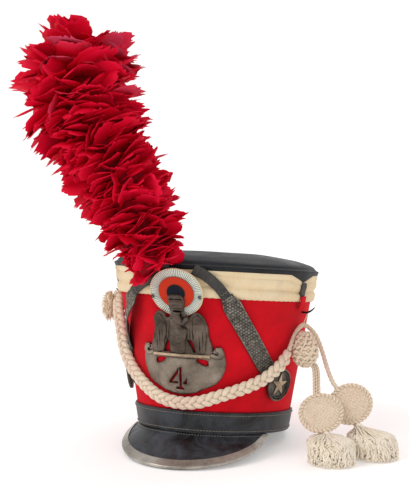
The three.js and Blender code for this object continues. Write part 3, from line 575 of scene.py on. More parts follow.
low, high = SEAT, SEAT + BAND_LEATHER
band_rows = [(low, 0), (high - 0.5, 0), (high, 0.5), (high + 0.15, 8), (high + 0.15, 16),
             (high, HEAD_BAND_HEIGHT - 0.7), (high - 0.6, HEAD_BAND_HEIGHT), (low, HEAD_BAND_HEIGHT),
             (low, 0)]


def band_edge_spot(turn, radius, height):
    out = radius - nominal
    return body_point(turn, height, out + 0.12 * math.sin(turn * 21 + height) * (out > low + 0.2))


bm = bmesh.new()
spun(bm, [(nominal + out, h) for out, h in band_rows], BODY_STEPS, band_edge_spot, 0, on_hat)
finish(bm, "head_band_leather", leather_black, ("head_band",))

bm = bmesh.new()
circumference = math.pi * (HEAD_WIDTH + HEAD_LENGTH) / 2
count = round(circumference / STITCH_PITCH)
step = STITCH_LENGTH / circumference * math.tau
for height in STITCH_ROWS:
    for i in range(count):
        turn = math.tau * i / count
        ends = [on_hat(body_point(turn + k * step, height, high + 0.15)) for k in (0, 1)]
        stitch(bm, *ends, on_hat(body_point(turn, height, 20)) - ends[0])
finish(bm, "head_band_stitches", linen_grey, sharp=0)

# %% [markdown]
# ## Peak and its metal edge
#
# The peak is stiff leather, blocked to a shallow slope, and darker and glossier than the band.
# Old peaks crack where they are sewn on and bend along one line. A thin folded strip of white
# metal guards its edge, wider on top at the front.

# %% Peak
PEAK_HALF_TURN = math.radians(67)
PEAK_REACH = 55.2
PEAK_END = 3
PEAK_SLOPE = math.radians(37.5)
PEAK_LEATHER = 2.4
PEAK_ROOT = 3
PEAK_SINK = 0.5
PEAK_CELLS = (110, 26)


def peak_width(share):
    return PEAK_END + (PEAK_REACH - PEAK_END) * (1 - min(abs(share), 1) ** 1.93) ** 1.21


def peak_point(share, reach, lift):
    """A point of the peak: a share of its half turn, a reach from the band, and a lift."""
    turn = PEAK_HALF_TURN * share
    half_width, half_length, _ = oval(0)
    outward = Vector((math.sin(turn) / half_width, -math.cos(turn) / half_length, 0)).normalized()
    slope = PEAK_SLOPE if reach > 0 else 0
    point = body_point(turn, 0, SEAT + BAND_LEATHER)
    point += outward * (reach * math.cos(slope) + lift * math.sin(PEAK_SLOPE))
    point.z += -reach * math.sin(slope) + lift * math.cos(PEAK_SLOPE)
    return point


def peak_dent(share, reach):
    """Old bends and a crease near the left end, in mm of lift."""
    crease = -0.5 * math.exp(-((share + 0.62 + reach * 0.003) / 0.03) ** 2) * smooth(reach, 2, 12)
    soft = 0.35 * noise.noise(Vector((share * 4, reach * 0.05, 3.1))) * smooth(reach, 3, 20)
    crown = 0.6 * math.sin(math.pi * min(reach / PEAK_REACH, 1))
    return crease + soft + crown


def peak_leaf(u, v, side):
    share = 2 * u - 1
    reach = (v * PEAK_CELLS[1] - 1) / (PEAK_CELLS[1] - 1) * peak_width(share) if v else -PEAK_ROOT
    dent = peak_dent(share, max(reach, 0)) * (1 - smooth(reach / peak_width(share), 0.72, 0.9))
    thick = PEAK_LEATHER * (1 if 0 < u < 1 and v < 1 else 0.8)
    return on_hat(peak_point(share, reach, -PEAK_SINK - (1 - side) * thick + dent * side))


bm = bmesh.new()
sheet(bm, *PEAK_CELLS, peak_leaf, (150, 60))
leather_peak = leather("blocked_peak_leather", "#0d0d10", "#4c525b", 0.38, 34.0, 0.15, 0.4)
finish(bm, "peak_leather", leather_peak, ("peak",), sharp=50)

SEAM_REACH = 3.4
SEAM_STITCHES = 30
bm = bmesh.new()
for i in range(-SEAM_STITCHES, SEAM_STITCHES + 1):
    share = i / (SEAM_STITCHES + 1) * 0.93
    ends = [on_hat(peak_point(share + k * 0.013, SEAM_REACH,
                              -PEAK_SINK + peak_dent(share, SEAM_REACH) + 0.1)) for k in (0, 1)]
    stitch(bm, *ends, (0, 0, 1), 0.32)
finish(bm, "peak_stitches", linen_grey, sharp=0)

# %% [markdown]
# The edge strip is white metal that has dulled to a soft grey. Fine scratches run along it,
# and it is rubbed brighter on its fold. The profile is a channel: an upper flange, the fold,
# and a shorter lower flange.

# %% White metal, dulled and rubbed
def old_metal(name, base, dark, roughness, scratch_scale, mottling=30.0):
    """Cast or rolled white metal: mottled tones, grime and painted shade in its hollows, and fine scratches.
    """
    material, tree, surface = new_material(name, base, roughness, Metallic=0.85)
    spot = add_node(tree, "TexCoord", {}, "Object")
    stain = add_node(tree, "TexNoise", {"Vector": spot, "Scale": mottling, "Detail": 8, "Roughness": 0.68})
    tone = add_node(tree, "ValToRGB", {"Fac": stain}, stops=((0.34, dark), (0.66, base)))
    dull = add_node(tree, "MapRange", {"Value": stain, "From Min": 0.3, "From Max": 0.7,
                                       "To Min": roughness + 0.15, "To Max": roughness - 0.1})
    stretched = add_node(tree, "Mapping", {"Vector": spot, "Scale": (1, 1, 0.2)})
    scratches = add_node(tree, "TexNoise", {"Vector": stretched, "Scale": scratch_scale, "Detail": 4})
    relief = add_node(tree, "Bump", {"Height": scratches, "Strength": 0.3, "Distance": 0.15 * MM})
    # The dark colour goes in where hollows are occluded: grime, and painted shade
    feed(surface, {"Base Color": shade_and_dirt_in_hollows(tree, tone, "#1d1915", 2.4, 0.35, 0.95, 0.85),
                   "Roughness": dull, "Normal": relief})
    return material


metal_trim = old_metal("dulled_white_metal_strip", "#c6c0b6", "#8d867d", 0.36, 900.0)
metal_cast = old_metal("cast_pewter_aged", "#978b7d", "#62584d", 0.44, 1400.0, 34.0)
metal_brown = old_metal("cast_pewter_browned", "#75685d", "#453b33", 0.46, 1400.0, 34.0)

TRIM_WIDTH = 10.5
TRIM_METAL = 0.8
GAP = 0.3


def trim_strip(u, v, side):
    share = 2 * u - 1
    width = peak_width(share)
    flange = min(mix(0.6, 1, 1 - share * share) * TRIM_WIDTH, width - PEAK_END / 2)
    top, foot = -PEAK_SINK + GAP, -PEAK_SINK - PEAK_LEATHER - GAP
    # v runs over the upper flange, round the fold and back under the peak
    if v < 0.5:
        spot = (flange * (1 - v / 0.5), top + side * TRIM_METAL)
    elif v > 0.8:
        spot = (flange * 0.55 * (v - 0.8) / 0.2, foot - side * TRIM_METAL)
    else:
        angle = math.pi * (v - 0.5) / 0.3
        half = (top - foot) / 2 + side * TRIM_METAL
        bulge = GAP + side * TRIM_METAL
        spot = (-bulge * math.sin(angle), (top + foot) / 2 + half * math.cos(angle))
    return on_hat(peak_point(share, width - spot[0], spot[1]))


bm = bmesh.new()
sheet(bm, 140, 20, trim_strip, (200, 20))
finish(bm, "peak_edge_strip", metal_trim, ("peak_trim",), sharp=50)

# %% [markdown]
# ## Crown
#
# The crown is one leather disc, blocked over the top of the body and turned down over its
# edge. It has a sharp ridge, a short skirt below it, and a low dome inside. At each side the
# skirt dips in a V that holds a tab. Age has left broad shallow dents in the dome.

# %% Crown
CROWN_RISE = 18
CROWN_LEATHER = 2
SKIRT_DEPTH = 4
SKIRT_LIP = 3.2
V_TURN = 78
V_DEPTH = 8
V_HALF_TURN = 12


def v_dip(turn):
    away = abs(abs(math.degrees(turn)) - V_TURN)
    return V_DEPTH * min(max(1 - away / V_HALF_TURN, 0), 1)


dome = spline([(0.001, 1), (0.25, 0.975), (0.45, 0.91), (0.75, 0.69), (0.9, 0.46), (0.965, 0.3),
               (0.995, 0.12)], 26)
under = spline([(0.95, 0.12), (0.75, 0.64), (0.45, 0.88), (0.2, 0.96), (0.001, 0.98)], 14)
over_rows = [(share * nominal, BODY_HEIGHT + rise * CROWN_RISE) for share, rise in dome]
under_rows = [(share * nominal, BODY_HEIGHT + rise * CROWN_RISE - CROWN_LEATHER) for share, rise in under]
# The lip's rows are outs from the body and heights
LIP = [(1.6, 185.9), (2.7, 185.7), (SKIRT_LIP, 185), (SKIRT_LIP, 183.6), (2.7, 182), (2.6, 181),
       (SEAT, 181), (SEAT, 184.1)]
lip_rows = [(nominal + out, height) for out, height in LIP]


def crown_spot(turn, radius, height):
    east, north = math.sin(turn), math.cos(turn)
    soft = noise.noise(Vector((east * radius * 0.02, north * radius * 0.02, 7.7)))
    height += 0.9 * soft * smooth(CROWN_DIAMETER / 2 - radius, 3, 20)
    if height < BODY_HEIGHT - 1 and radius > nominal:
        height -= v_dip(turn) * smooth(BODY_HEIGHT - height, 0.8, 3)
    if radius > nominal:
        return body_point(turn, height, radius - nominal + 0.2 * math.sin(turn * 33) * (height < 184))
    half_width, half_length, forward = oval(height)
    share = radius / nominal
    return Vector((share * half_width * east, -share * half_length * north - forward, height))


bm = bmesh.new()
spun(bm, over_rows + lip_rows + under_rows, BODY_STEPS, crown_spot, 0, on_hat)
leather_crown = leather("blocked_crown_leather", "#0c0d0f", "#2b2f35", 0.5, 16.0, 0.0, 0.28)
finish(bm, "crown_leather", leather_crown, ("crown",), sharp=40)

# %% [markdown]
# ## White cloth band
#
# A band of undyed wool is padded and folded: a full roll along its lower edge, a crease over
# it, and a flatter part up to the crown. It meets in a join under each side's V. Handling has
# turned it to ivory, with brownish clouds near the seam. The edge is drawn in by its stitches,
# so it waves a little.

# %% White cloth band, front and back
BAND_FOOT = 151
BAND_PAD = 3.4
# Shares of the band's height, and the padding there
BAND_ROLLS = [(0, 0.25), (0.03, 0.8), (0.1, 1.12), (0.2, 1.2), (0.3, 1.08), (0.37, 0.62), (0.41, 0.3),
              (0.45, 0.42), (0.54, 0.82), (0.66, 0.98), (0.76, 0.84), (0.8, 0.62), (0.84, 0.8),
              (0.92, 0.86), (1, 0.7)]
BAND_CELLS = 40
JOIN_TURN = V_TURN - 0.3
cloth_cream = cloth("wool_cloth_undyed_aged", "#e6d2b4", "#d8bf9b", "#f6ead4", 1.1, 0.3, "#b08a5e")
roll_rows = spline(BAND_ROLLS, BAND_CELLS)


def band_spot(from_turn, to_turn):
    def place(u, v, side):
        turn = mix(from_turn, to_turn, u)
        share, pad = roll_rows[round(v * BAND_CELLS)]
        wrapped = (turn + 180) % 360 - 180
        top = BODY_HEIGHT - SKIRT_DEPTH - 0.3 - v_dip(math.radians(wrapped))
        pucker = 0.45 * math.sin(turn * 1.7) * math.exp(-share / 0.12)
        height = mix(BAND_FOOT, top, share) + pucker * side
        rough = noise.noise(Vector((turn * 0.11, share * 5, 1.3))) * 0.45
        rough += noise.noise(Vector((turn * 0.5, share * 9, 4.3))) * 0.2
        out = mix(SEAT, max(pad * BAND_PAD, SEAT + 0.6), side) + rough * side * min(share * 8, 1)
        ends = min(u, 1 - u) * abs(to_turn - from_turn)
        out = mix(SEAT, out, 0.35 + 0.65 * smooth(ends, 0, 1.6))
        return on_hat(body_point(math.radians(turn), height, out))
    return place


for name, node, start, end, cells in (
        ("band_cloth_front", "white_band_front", -JOIN_TURN, JOIN_TURN, 150),
        ("band_cloth_back", "white_band_back", V_TURN + 0.3, 360 - V_TURN - 0.3, 190)):
    bm = bmesh.new()
    sheet(bm, cells, BAND_CELLS, band_spot(start, end), (math.radians(end - start) * 108, 30))
    finish(bm, name, cloth_cream, (node,), sharp=60)

# %% [markdown]
# ## Chin straps
#
# The straps are leather, faced with small interlocked metal scales, and they are tied up: each
# runs from its boss up to the band, and a narrow plain end goes on to the plume. The scales
# are 4 mm wide and lie in staggered rows. Each is a low cone with few faces, because there are
# some hundreds of them.

# %% Straps that follow the body
STRAP_WIDTH = 20
STRAP_THICK = 1.8
STRAP_PLAY = 0.15
# Turns in degrees and heights
STRAP_ROUTES = {
    "right": [(26.7, 153), (40, 117), (53.7, 84), (62, 68), (73.5, 46)],
    "left": [(-30.5, 154), (-40, 119), (-53.7, 84), (-62, 68), (-73.5, 46)],
}
STRAP_END_ROUTES = {
    "right": [(9, 181.5), (16, 174), (22, 163.5), (26.8, 152)],
    "left": [(-11.5, 175.5), (-16, 169.5), (-22, 163.5), (-30.6, 153)],
}
STRAP_BOW = {"right": 0, "left": 4}
BOWED_SHARE = 0.42
STRAP_TWIST = {"right": 0, "left": 0.5}
TWISTED_SHARE = 0.55
SCALE_PITCH = 3.3
SCALES_ACROSS = 5
SCALED_SHARE = 0.87
SIDES = (("right", 1), ("left", -1))


def cloth_out(height):
    return (BAND_PAD + 0.3) * smooth(height, BAND_FOOT - 14, BAND_FOOT - 1)


def strip_place(route, width, back, thick, twist=lambda u: 0.0):
    """A function from a share along, a share across and a lift to a point on the hat."""
    cells = 60
    points = spline(route, cells)
    along_ways = np.gradient(points, axis=0)

    def between(rows, spot):
        low = min(int(spot), cells - 1)
        return rows[low] + (rows[low + 1] - rows[low]) * (spot - low)

    def place(u, v, lift):
        here, way = between(points, u * cells), between(along_ways, u * cells)
        per_degree = math.radians(oval(here[1])[0])
        length = math.hypot(way[0] * per_degree, way[1])
        shift = (v - 0.5) * width(u) * math.cos(twist(u))
        raised = v * width(u) * math.sin(twist(u))
        turn = here[0] - shift * way[1] / length / per_degree
        height = here[1] + shift * way[0] * per_degree / length
        out = cloth_out(height) + back(u) + raised + lift * thick
        return on_hat(body_point(math.radians(turn), height, out))
    return place


def strap_width(u):
    neck = mix(0.72, 1, smooth(u, 0.02, 0.09))
    return STRAP_WIDTH * neck * mix(1, 0.44, smooth(u, 0.86, 0.97))


def strap_place(side):
    """The left strap bows off the cloth and is twisted edge-on over its upper half."""
    def back(u):
        return SEAT + STRAP_PLAY + STRAP_BOW[side] * math.sin(math.pi * min(u / BOWED_SHARE, 1))

    def twist(u):
        return STRAP_TWIST[side] * math.sin(math.pi * min(u / TWISTED_SHARE, 1)) ** 0.7
    return strip_place(STRAP_ROUTES[side], strap_width, back, STRAP_THICK, twist)


def metal_scale(bm, place, u, v):
    """One low cone, tilted a little, at a share along and a share across a strap."""
    centre = place(u, v, 0.75)
    up = (place(u, v, 1.75) - centre).normalized()
    way = (place(min(u + 0.01, 1), v, 0.75) - centre).normalized()
    turn = Matrix((way, up.cross(way), up)).transposed().to_4x4()
    tilt = Matrix.Rotation(random.uniform(-0.3, 0.16), 4, "Y")
    spot = Matrix.Translation(centre + up * 0.25 * MM)
    bmesh.ops.create_cone(bm, cap_ends=True, segments=7, radius1=1.85 * MM, radius2=0.6 * MM,
                          depth=1.0 * MM, matrix=spot @ turn @ tilt)


metal_scales = old_metal("linked_scales_darkened", "#a09a8e", "#4b463f", 0.42, 1100.0, 160.0)
for side in STRAP_ROUTES:
    place = strap_place(side)
    bm = bmesh.new()
    sheet(bm, 90, 8, lambda u, v, s: place(u, v, s * 0.72), (150, 20))
    finish(bm, f"strap_leather_{side}", leather_matt, sharp=50)

    bm = bmesh.new()
    length = float(np.linalg.norm(np.array(place(0, 0.5, 0)) - np.array(place(1, 0.5, 0)))) / MM * 1.03
    rows = int(length * SCALED_SHARE / SCALE_PITCH)
    random.seed(31)
    for row in range(rows):
        odd = row % 2
        for k in range(SCALES_ACROSS + odd):
            across = min((k + 0.5 * (1 - odd)) / SCALES_ACROSS, 1)
            metal_scale(bm, place, (row + 0.6) / rows * SCALED_SHARE, 0.09 + 0.82 * across)
    for v in (0.04, 0.96):
        tube(bm, [place(u, v, 0.85) for u in np.linspace(0.03, 0.9, 50)], 0.75 * MM, sides=6)
    finish(bm, f"strap_scales_{side}", metal_scales, (f"strap_{side}",), sharp=40,
           recalculate=False)

    end_place = strip_place(STRAP_END_ROUTES[side], lambda u: 12 - 1.2 * u,
                            lambda u: SEAT + STRAP_PLAY + STRAP_THICK + 0.3, STRAP_THICK)

    def end_spot(u, v, s):
        ribs = 0.14 * math.sin(v * 6 * math.pi) ** 2 + 0.1 * math.sin(u * 60) ** 2
        return end_place(u, v, s * (0.8 + ribs))

    bm = bmesh.new()
    sheet(bm, 44, 12, end_spot, (46, 12))
    finish(bm, f"strap_end_leather_{side}", leather_matt, (f"strap_end_{side}",), sharp=50)

    bm = bmesh.new()
    outward = end_place(0.86, 0.5, 3) - end_place(0.86, 0.5, 1)
    for k in range(5):
        ends = [end_place(0.86 + 0.02 * (k % 2), 0.2 + 0.15 * k + step, 1.0) for step in (0, 0.09)]
        stitch(bm, *ends, outward, 0.35)
    finish(bm, f"strap_end_stitches_{side}", linen_grey, sharp=0)

# %% [markdown]
# ## Bosses
#
# A cast boss covers the lower end of each strap: a disc with a double raised rim and a star
# with five ridged points. The disc is spun. The star is a flat outline whose middle is lifted,
# so its arms get their ridges.

# %% Bosses with a star
BOSS_RADIUS = 19
BOSS_TURN = math.radians(69.3)
BOSS_HEIGHT = 57.4
BOSS_OUT = SEAT + STRAP_PLAY + STRAP_THICK + 0.3
# Shares of the radius, and heights
BOSS_ROWS = [(0.001, 1.9), (0.3, 1.9), (0.62, 1.8), (0.74, 1.7), (0.77, 3.0), (0.81, 3.6), (0.84, 3.0),
             (0.865, 2.3), (0.89, 3.2), (0.94, 4.0), (0.99, 3.4), (1.01, 2.0), (0.99, 0.2), (0.001, 0)]
STAR_FOOT = 1.9
STAR_EDGE = 0.9
STAR_RIDGE = 3.0
metal_boss = old_metal("cast_pewter_blackened", "#79746a", "#3c3c36", 0.42, 1200.0, 60.0)
# A lighter copy of the pewter for the stars and the plate's bar: a painted highlight
metal_painted_highlight = old_metal("cast_pewter_painted_highlight", "#c9b398", "#8d7761", 0.36, 1200.0, 90.0)


def boss_frame(sign):
    turn = sign * BOSS_TURN
    normal = body_normal(turn, BOSS_HEIGHT)
    side = Vector((0, 0, 1)).cross(normal).normalized()
    up = normal.cross(side)
    centre = body_point(turn, BOSS_HEIGHT) + normal * BOSS_OUT
    return lambda x, y, z: on_hat(centre + side * x + up * y + normal * z)


for side, sign in SIDES:
    put = boss_frame(sign)
    bm = bmesh.new()
    spun(bm, [(r * BOSS_RADIUS, h) for r, h in BOSS_ROWS], 72,
         lambda turn, r, h: Vector((r * math.sin(turn), r * math.cos(turn), h)))
    dish = set(bm.faces)
    tips = []
    for i in range(10):
        reach = BOSS_RADIUS * (0.27 if i % 2 else 0.72)
        angle = math.pi / 2 + i * math.pi / 5
        tips.append(bm.verts.new((reach * math.cos(angle), reach * math.sin(angle), STAR_FOOT)))
    star = bm.faces.new(tips)
    raised = bmesh.ops.extrude_face_region(bm, geom=[star], use_keep_orig=True)["geom"]
    top = [item for item in raised if isinstance(item, bmesh.types.BMFace)]
    for vert in {vert for face in top for vert in face.verts}:
        vert.co.z += STAR_EDGE
    bmesh.ops.poke(bm, faces=top, offset=STAR_RIDGE)
    for face in bm.faces:
        face.material_index = 0 if face in dish else 1
    for vert in bm.verts:
        vert.co = put(*vert.co)
    finish(bm, f"boss_{side}", [metal_boss, metal_painted_highlight], (f"rosette_{side}",), sharp=20)

# %% [markdown]
# ## Tabs, hooks and the plume's sleeve
#
# Below each V hangs a small leather tab, and at one side a scrap of red cloth under it. A
# black wire hook sticks out of each side to carry the cords. A tapered leather sleeve behind
# the cockade holds the plume's stem.

# %% Tabs, hooks and sleeve
TAB_TOP = BODY_HEIGHT - SKIRT_DEPTH - V_DEPTH - 2
RED_TAB_TOP = TAB_TOP - 14
HOOK_TURN = math.radians(86)
HOOK_DROP = {"right": 12, "left": 4}
iron_wire = new_material("japanned_iron_wire", "#151414", 0.38, Metallic=0.6)[0]


def tab_width(u):
    return 5.5 + 5 * math.sin(math.pi * min(u * 1.25, 1)) ** 0.7 * (1 - 0.25 * u)


for side, sign in SIDES:
    place = strip_place([(sign * V_TURN, TAB_TOP + rise) for rise in (1.5, -8, -17)], tab_width,
                        lambda u: 0, 1.4)
    bm = bmesh.new()
    sheet(bm, 24, 8, lambda u, v, s: place(u, v, s + 0.5 * s * math.sin(u * 9) * (v - 0.5)), (17, 10))
    finish(bm, f"tab_leather_{side}", leather_matt, (f"side_tab_{side}",), sharp=50)

    hook = (sign * HOOK_TURN, BAND_FOOT - HOOK_DROP[side])
    normal = body_normal(*hook)
    base = body_point(*hook)
    rise = normal.cross(Vector((0, 0, 1)).cross(normal).normalized())
    bend = spline([(0.3, 0), (6.5, 1.3), (11.2, 5), (14, 9)], 24)
    wire = [on_hat(base + normal * out + rise * up) for out, up in bend]
    bm = bmesh.new()
    tube(bm, wire, lambda share: (1.15 - 0.55 * smooth(share, 0.5, 1)) * MM, sides=12, tip=0.35)
    finish(bm, f"hook_wire_{side}", iron_wire, (f"hook_{side}",))

red_route = [(V_TURN + turn, RED_TAB_TOP - drop) for turn, drop in ((0, 0), (0.4, 7), (1.2, 15))]
place = strip_place(red_route, lambda u: 10 - 2.2 * u, lambda u: 1.7 + 0.6 * u, 1.4)
bm = bmesh.new()
sheet(bm, 20, 10, lambda u, v, s: place(u, v, s + 0.5 * math.sin(v * 3 + u * 4) * u), (15, 10))
finish(bm, "tab_red_cloth", broadcloth_red, ("red_tab",), sharp=50)

SOCKET_LOW = body_point(math.radians(-4), BAND_FOOT + 12, BAND_PAD + 0.3 + 3.3)
SOCKET_HIGH = body_point(math.radians(-6.5), BAND_FOOT + 37, SKIRT_LIP + 0.3 + 5.1)
sleeve = [on_hat(SOCKET_LOW.lerp(SOCKET_HIGH, t)) for t in np.linspace(0, 1, 16)]
bm = bmesh.new()
tube(bm, sleeve, lambda t: mix(2.4, 4.8, t) * MM, sides=28,
     ridge=lambda t, a: 1 + 0.03 * math.cos(3 * a + 9 * t))
finish(bm, "plume_sleeve", leather_matt, ("plume_socket",), sharp=50)

# %% [markdown]
# ## Plate
#
# The plate is cast pewter: a crescent pierced with a number, a bird with spread wings over it,
# a bar across and a horn at each end. Its outlines are curves drawn as shares of half the
# width and of the height. Each is filled, cut across into small cells and thickened, and the
# front is then raised: a rounded rim, upright ribs for the feathers, small scallops on the
# breast. The whole is bent round the body, as the real plate was.

# %% Plate outlines
PLATE_WIDTH = 97
PLATE_FOOT = 41
PLATE_HEIGHT = 111
PLATE_METAL = 2
COCKADE_FOOT = 131
COCKADE_LEAN = math.radians(14)
FRONT_FLARE = math.atan(38 / BODY_HEIGHT)


def rounded(points, steps=5):
    """A closed curve through the points."""
    points = np.array(points, float)
    turns = range(len(points))
    return [curve_point(*(points[(i + k) % len(points)] for k in (-1, 0, 1, 2)), t)
            for i in turns for t in np.linspace(0, 1, steps, endpoint=False)]


def mirrored(points):
    return [(-x, z) for x, z in points]


# Shares of half the width and of the height
crescent_half = [(0.29, 0.03), (0.56, 0.08), (0.79, 0.135), (0.94, 0.235), (1, 0.355), (0.93, 0.47),
                 (0.83, 0.495), (0.715, 0.45), (0.68, 0.42)]
crescent = rounded([(0, 0.01)] + crescent_half + mirrored(crescent_half)[::-1])
crescent_hole = rounded([(0.37, 0.37), (0.6, 0.37), (0.63, 0.315), (0.5, 0.322)], 3)
bird = rounded([(-0.66, 0.4), (-0.665, 0.63), (-0.63, 0.76), (-0.55, 0.82), (-0.45, 0.838), (-0.34, 0.822),
                (-0.27, 0.775), (-0.19, 0.79), (-0.165, 0.84), (-0.18, 0.9), (-0.19, 0.965), (-0.12, 1),
                (0.12, 1), (0.19, 0.965), (0.18, 0.9), (0.16, 0.845), (0.21, 0.808), (0.27, 0.79),
                (0.36, 0.82), (0.45, 0.838), (0.55, 0.82), (0.63, 0.76), (0.66, 0.62), (0.65, 0.4)], 4)
bird_holes = [
    [(0.04, 0.75), (0.22, 0.755), (0.12, 0.7)],
    [(-0.31, 0.565), (-0.25, 0.5), (-0.22, 0.435), (-0.4, 0.435)],
    [(0.19, 0.56), (0.29, 0.555), (0.37, 0.45), (0.34, 0.44)],
]
breast = rounded([(-0.2, 0.43), (-0.245, 0.5), (-0.25, 0.6), (-0.23, 0.72), (-0.13, 0.785), (-0.02, 0.79),
                  (0.06, 0.7), (0.2, 0.67), (0.17, 0.56), (0.12, 0.43)], 4)
wing = rounded([(0.41, 0.44), (0.35, 0.55), (0.31, 0.65), (0.33, 0.74), (0.4, 0.8), (0.5, 0.81),
                (0.585, 0.75), (0.61, 0.6), (0.6, 0.44)], 4)
number = [
    [(-0.012, 0.28), (0.025, 0.28), (0.025, 0.085), (0.07, 0.075), (0.07, 0.062), (-0.1, 0.062),
     (-0.1, 0.075), (-0.025, 0.085), (-0.025, 0.28)],
    [(-0.05, 0.27), (-0.06, 0.22), (-0.22, 0.135), (-0.06, 0.135), (-0.06, 0.12), (-0.29, 0.12),
     (-0.29, 0.135)],
    [(0.06, 0.118), (0.15, 0.118), (0.15, 0.17)],
]
bar = [(-0.72, 0.385), (0.7, 0.385), (0.7, 0.425), (-0.72, 0.425)]
horn = rounded([(0.7, 0.4), (0.82, 0.385), (0.93, 0.39), (0.985, 0.44), (0.93, 0.5), (0.83, 0.5),
                (0.8, 0.462), (0.86, 0.445), (0.84, 0.43), (0.7, 0.44)], 4)
collar = [(-0.17, 0.845), (0.17, 0.845), (0.17, 0.955), (-0.17, 0.955)]

# %% Plate relief, layer by layer
def plate_back(z):
    lean = FRONT_FLARE + COCKADE_LEAN
    clear = SEAT + 0.6 + 4.1 / math.cos(lean) + 0.3
    clear += max(z - COCKADE_FOOT, 0) * (math.tan(lean) - math.tan(FRONT_FLARE))
    return mix(SEAT, clear, smooth(z, COCKADE_FOOT - 14, COCKADE_FOOT - 3))


def plate_spot(x, z, out):
    half_width, half_length, forward = oval(z)
    side = x / (half_width + out)
    return on_hat(Vector((x, -(half_length + out) * math.sqrt(1 - side * side) - forward, z)))


def edge_distance(points, loops):
    """The distance of each point to the nearest side of the loops."""
    nearest = np.full(len(points), 1e9)
    for loop in loops:
        loop = np.array(loop)
        for a, b in zip(loop, np.roll(loop, -1, axis=0)):
            way = b - a
            share = np.clip((points - a) @ way / max(way @ way, 1e-9), 0, 1)
            nearest = np.minimum(nearest, np.linalg.norm(points - a - share[:, None] * way, axis=1))
    return nearest


def cast_layer(bm, outline, holes, cell, low, rise, finish_index):
    """One closed layer of the casting. low is its back's lift off the plate's own back, and
    rise(x, z, distance to the edge) the lift of its front."""
    flat = bmesh.new()
    loops = [[(x * PLATE_WIDTH / 2, z * PLATE_HEIGHT) for x, z in loop] for loop in [outline] + holes]
    edges = []
    for loop in loops:
        corners = [flat.verts.new((x, 0, z)) for x, z in loop]
        edges += [flat.edges.new(pair) for pair in zip(corners, corners[1:] + corners[:1])]
    bmesh.ops.triangle_fill(flat, use_beauty=True, edges=edges)
    for axis in (0, 2):
        spread = [vert.co[axis] for vert in flat.verts]
        way = Vector([float(k == axis) for k in range(3)])
        for cut in np.arange(min(spread) + cell / 2, max(spread), cell):
            bmesh.ops.bisect_plane(flat, geom=flat.verts[:] + flat.edges[:] + flat.faces[:],
                                   dist=0.01, plane_co=way * float(cut), plane_no=way)
    raised = bmesh.ops.extrude_face_region(flat, geom=flat.faces[:])
    front = {item for item in raised["geom"] if isinstance(item, bmesh.types.BMVert)}
    places = np.array([(vert.co.x, vert.co.z) for vert in flat.verts])
    for vert, away in zip(flat.verts[:], edge_distance(places, loops)):
        x, z = vert.co.x, vert.co.z + PLATE_FOOT
        lift = rise(x, vert.co.z, float(away)) if vert in front else low
        vert.co = plate_spot(x, z, plate_back(z) + lift)
    bmesh.ops.recalc_face_normals(flat, faces=flat.faces[:])
    for face in flat.faces:
        face.material_index = finish_index
    joined(bm, flat)


def crest(away, width):
    """A rounded shoulder: 0 at the edge, 1 from the given width on."""
    share = min(away / width, 1)
    return math.sqrt(1 - (1 - share) ** 2)


def crescent_rise(x, z, away):
    lift = PLATE_METAL - 0.7 + 0.7 * crest(away, 1.2)
    line = 0.8 * math.exp(-((away - 1.5) / 0.65) ** 2)
    # A low boss carries the number, with a raised line round it
    from_boss = math.hypot(x / 27, (z - 21) / 22)
    line += 1.3 * math.exp(-((from_boss - 1) / 0.045) ** 2) + 1.1 * math.sqrt(max(1 - from_boss ** 2, 0))
    return lift + line * (z < PLATE_HEIGHT * 0.38)


def feathered(x, z, away, ribs, coverts, bow, middle, pitch):
    """Upright ribs low down, and rows of short bowed coverts above them."""
    low_part = smooth(PLATE_HEIGHT * 0.7 - z, -3, 8)
    lift = ribs * abs(math.sin(math.pi * (x + 0.035 * z) / 3.6)) ** 0.6 * low_part
    row = z + bow * (abs(x) - middle) ** 2
    lift += coverts * abs(math.sin(math.pi * row / pitch)) * (1 - low_part)
    return lift * crest(away, 1.5)


def bird_rise(x, z, away):
    return PLATE_METAL + 0.5 * crest(away, 2.2) + feathered(x, z, away, 1.3, 0.6, 0.12, 19, 4.2)


def wing_rise(x, z, away):
    return PLATE_METAL + 0.4 + 1.9 * crest(away, 5) + feathered(x, z, away, 1.6, 0.7, 0.1, 21, 4.0)


def breast_rise(x, z, away):
    scallops = abs(math.sin(math.pi * (z + 0.035 * x * x) / 2.9)) ** 0.7
    scallops *= 0.75 + 0.25 * abs(math.cos(math.pi * x / 2.6))
    return PLATE_METAL + 0.6 + 4.2 * crest(away, 11) + 0.9 * scallops * crest(away, 2)


def bar_rise(x, z, away):
    return PLATE_METAL + 1.6 + 1.5 * crest(away, 2) + 0.2 * math.sin(x * 1.9)


def horn_rise(x, z, away):
    return PLATE_METAL + 0.7 + 1.8 * crest(away, 2.3)


def collar_rise(x, z, away):
    return PLATE_METAL + 0.7 + 1.7 * crest(away, 2) + 1.1 * abs(math.sin(math.pi * z / 4))


AGED, PAINTED_HIGHLIGHT, BROWN = 0, 1, 2
LAYERS = [
    # outline, holes, cell mm, lift of its back, lift of its front, finish
    (crescent, [crescent_hole, mirrored(crescent_hole)] + number, 1.5, 0, crescent_rise, AGED),
    (bird, bird_holes, 1.2, 0.05, bird_rise, BROWN),
    (wing, [], 1.1, 1.4, wing_rise, BROWN),
    (mirrored(wing), [], 1.1, 1.4, wing_rise, BROWN),
    (breast, [], 1.1, 1.4, breast_rise, BROWN),
    # The bar takes the lighter pewter, a painted highlight
    (bar, [], 1.4, 1.4, bar_rise, PAINTED_HIGHLIGHT),
    (horn, [], 1.2, 1.4, horn_rise, AGED),
    (mirrored(horn), [], 1.2, 1.4, horn_rise, AGED),
    (collar, [], 0.9, 1.4, collar_rise, BROWN),
]
bm = bmesh.new()
for layer in LAYERS:
    cast_layer(bm, *layer)
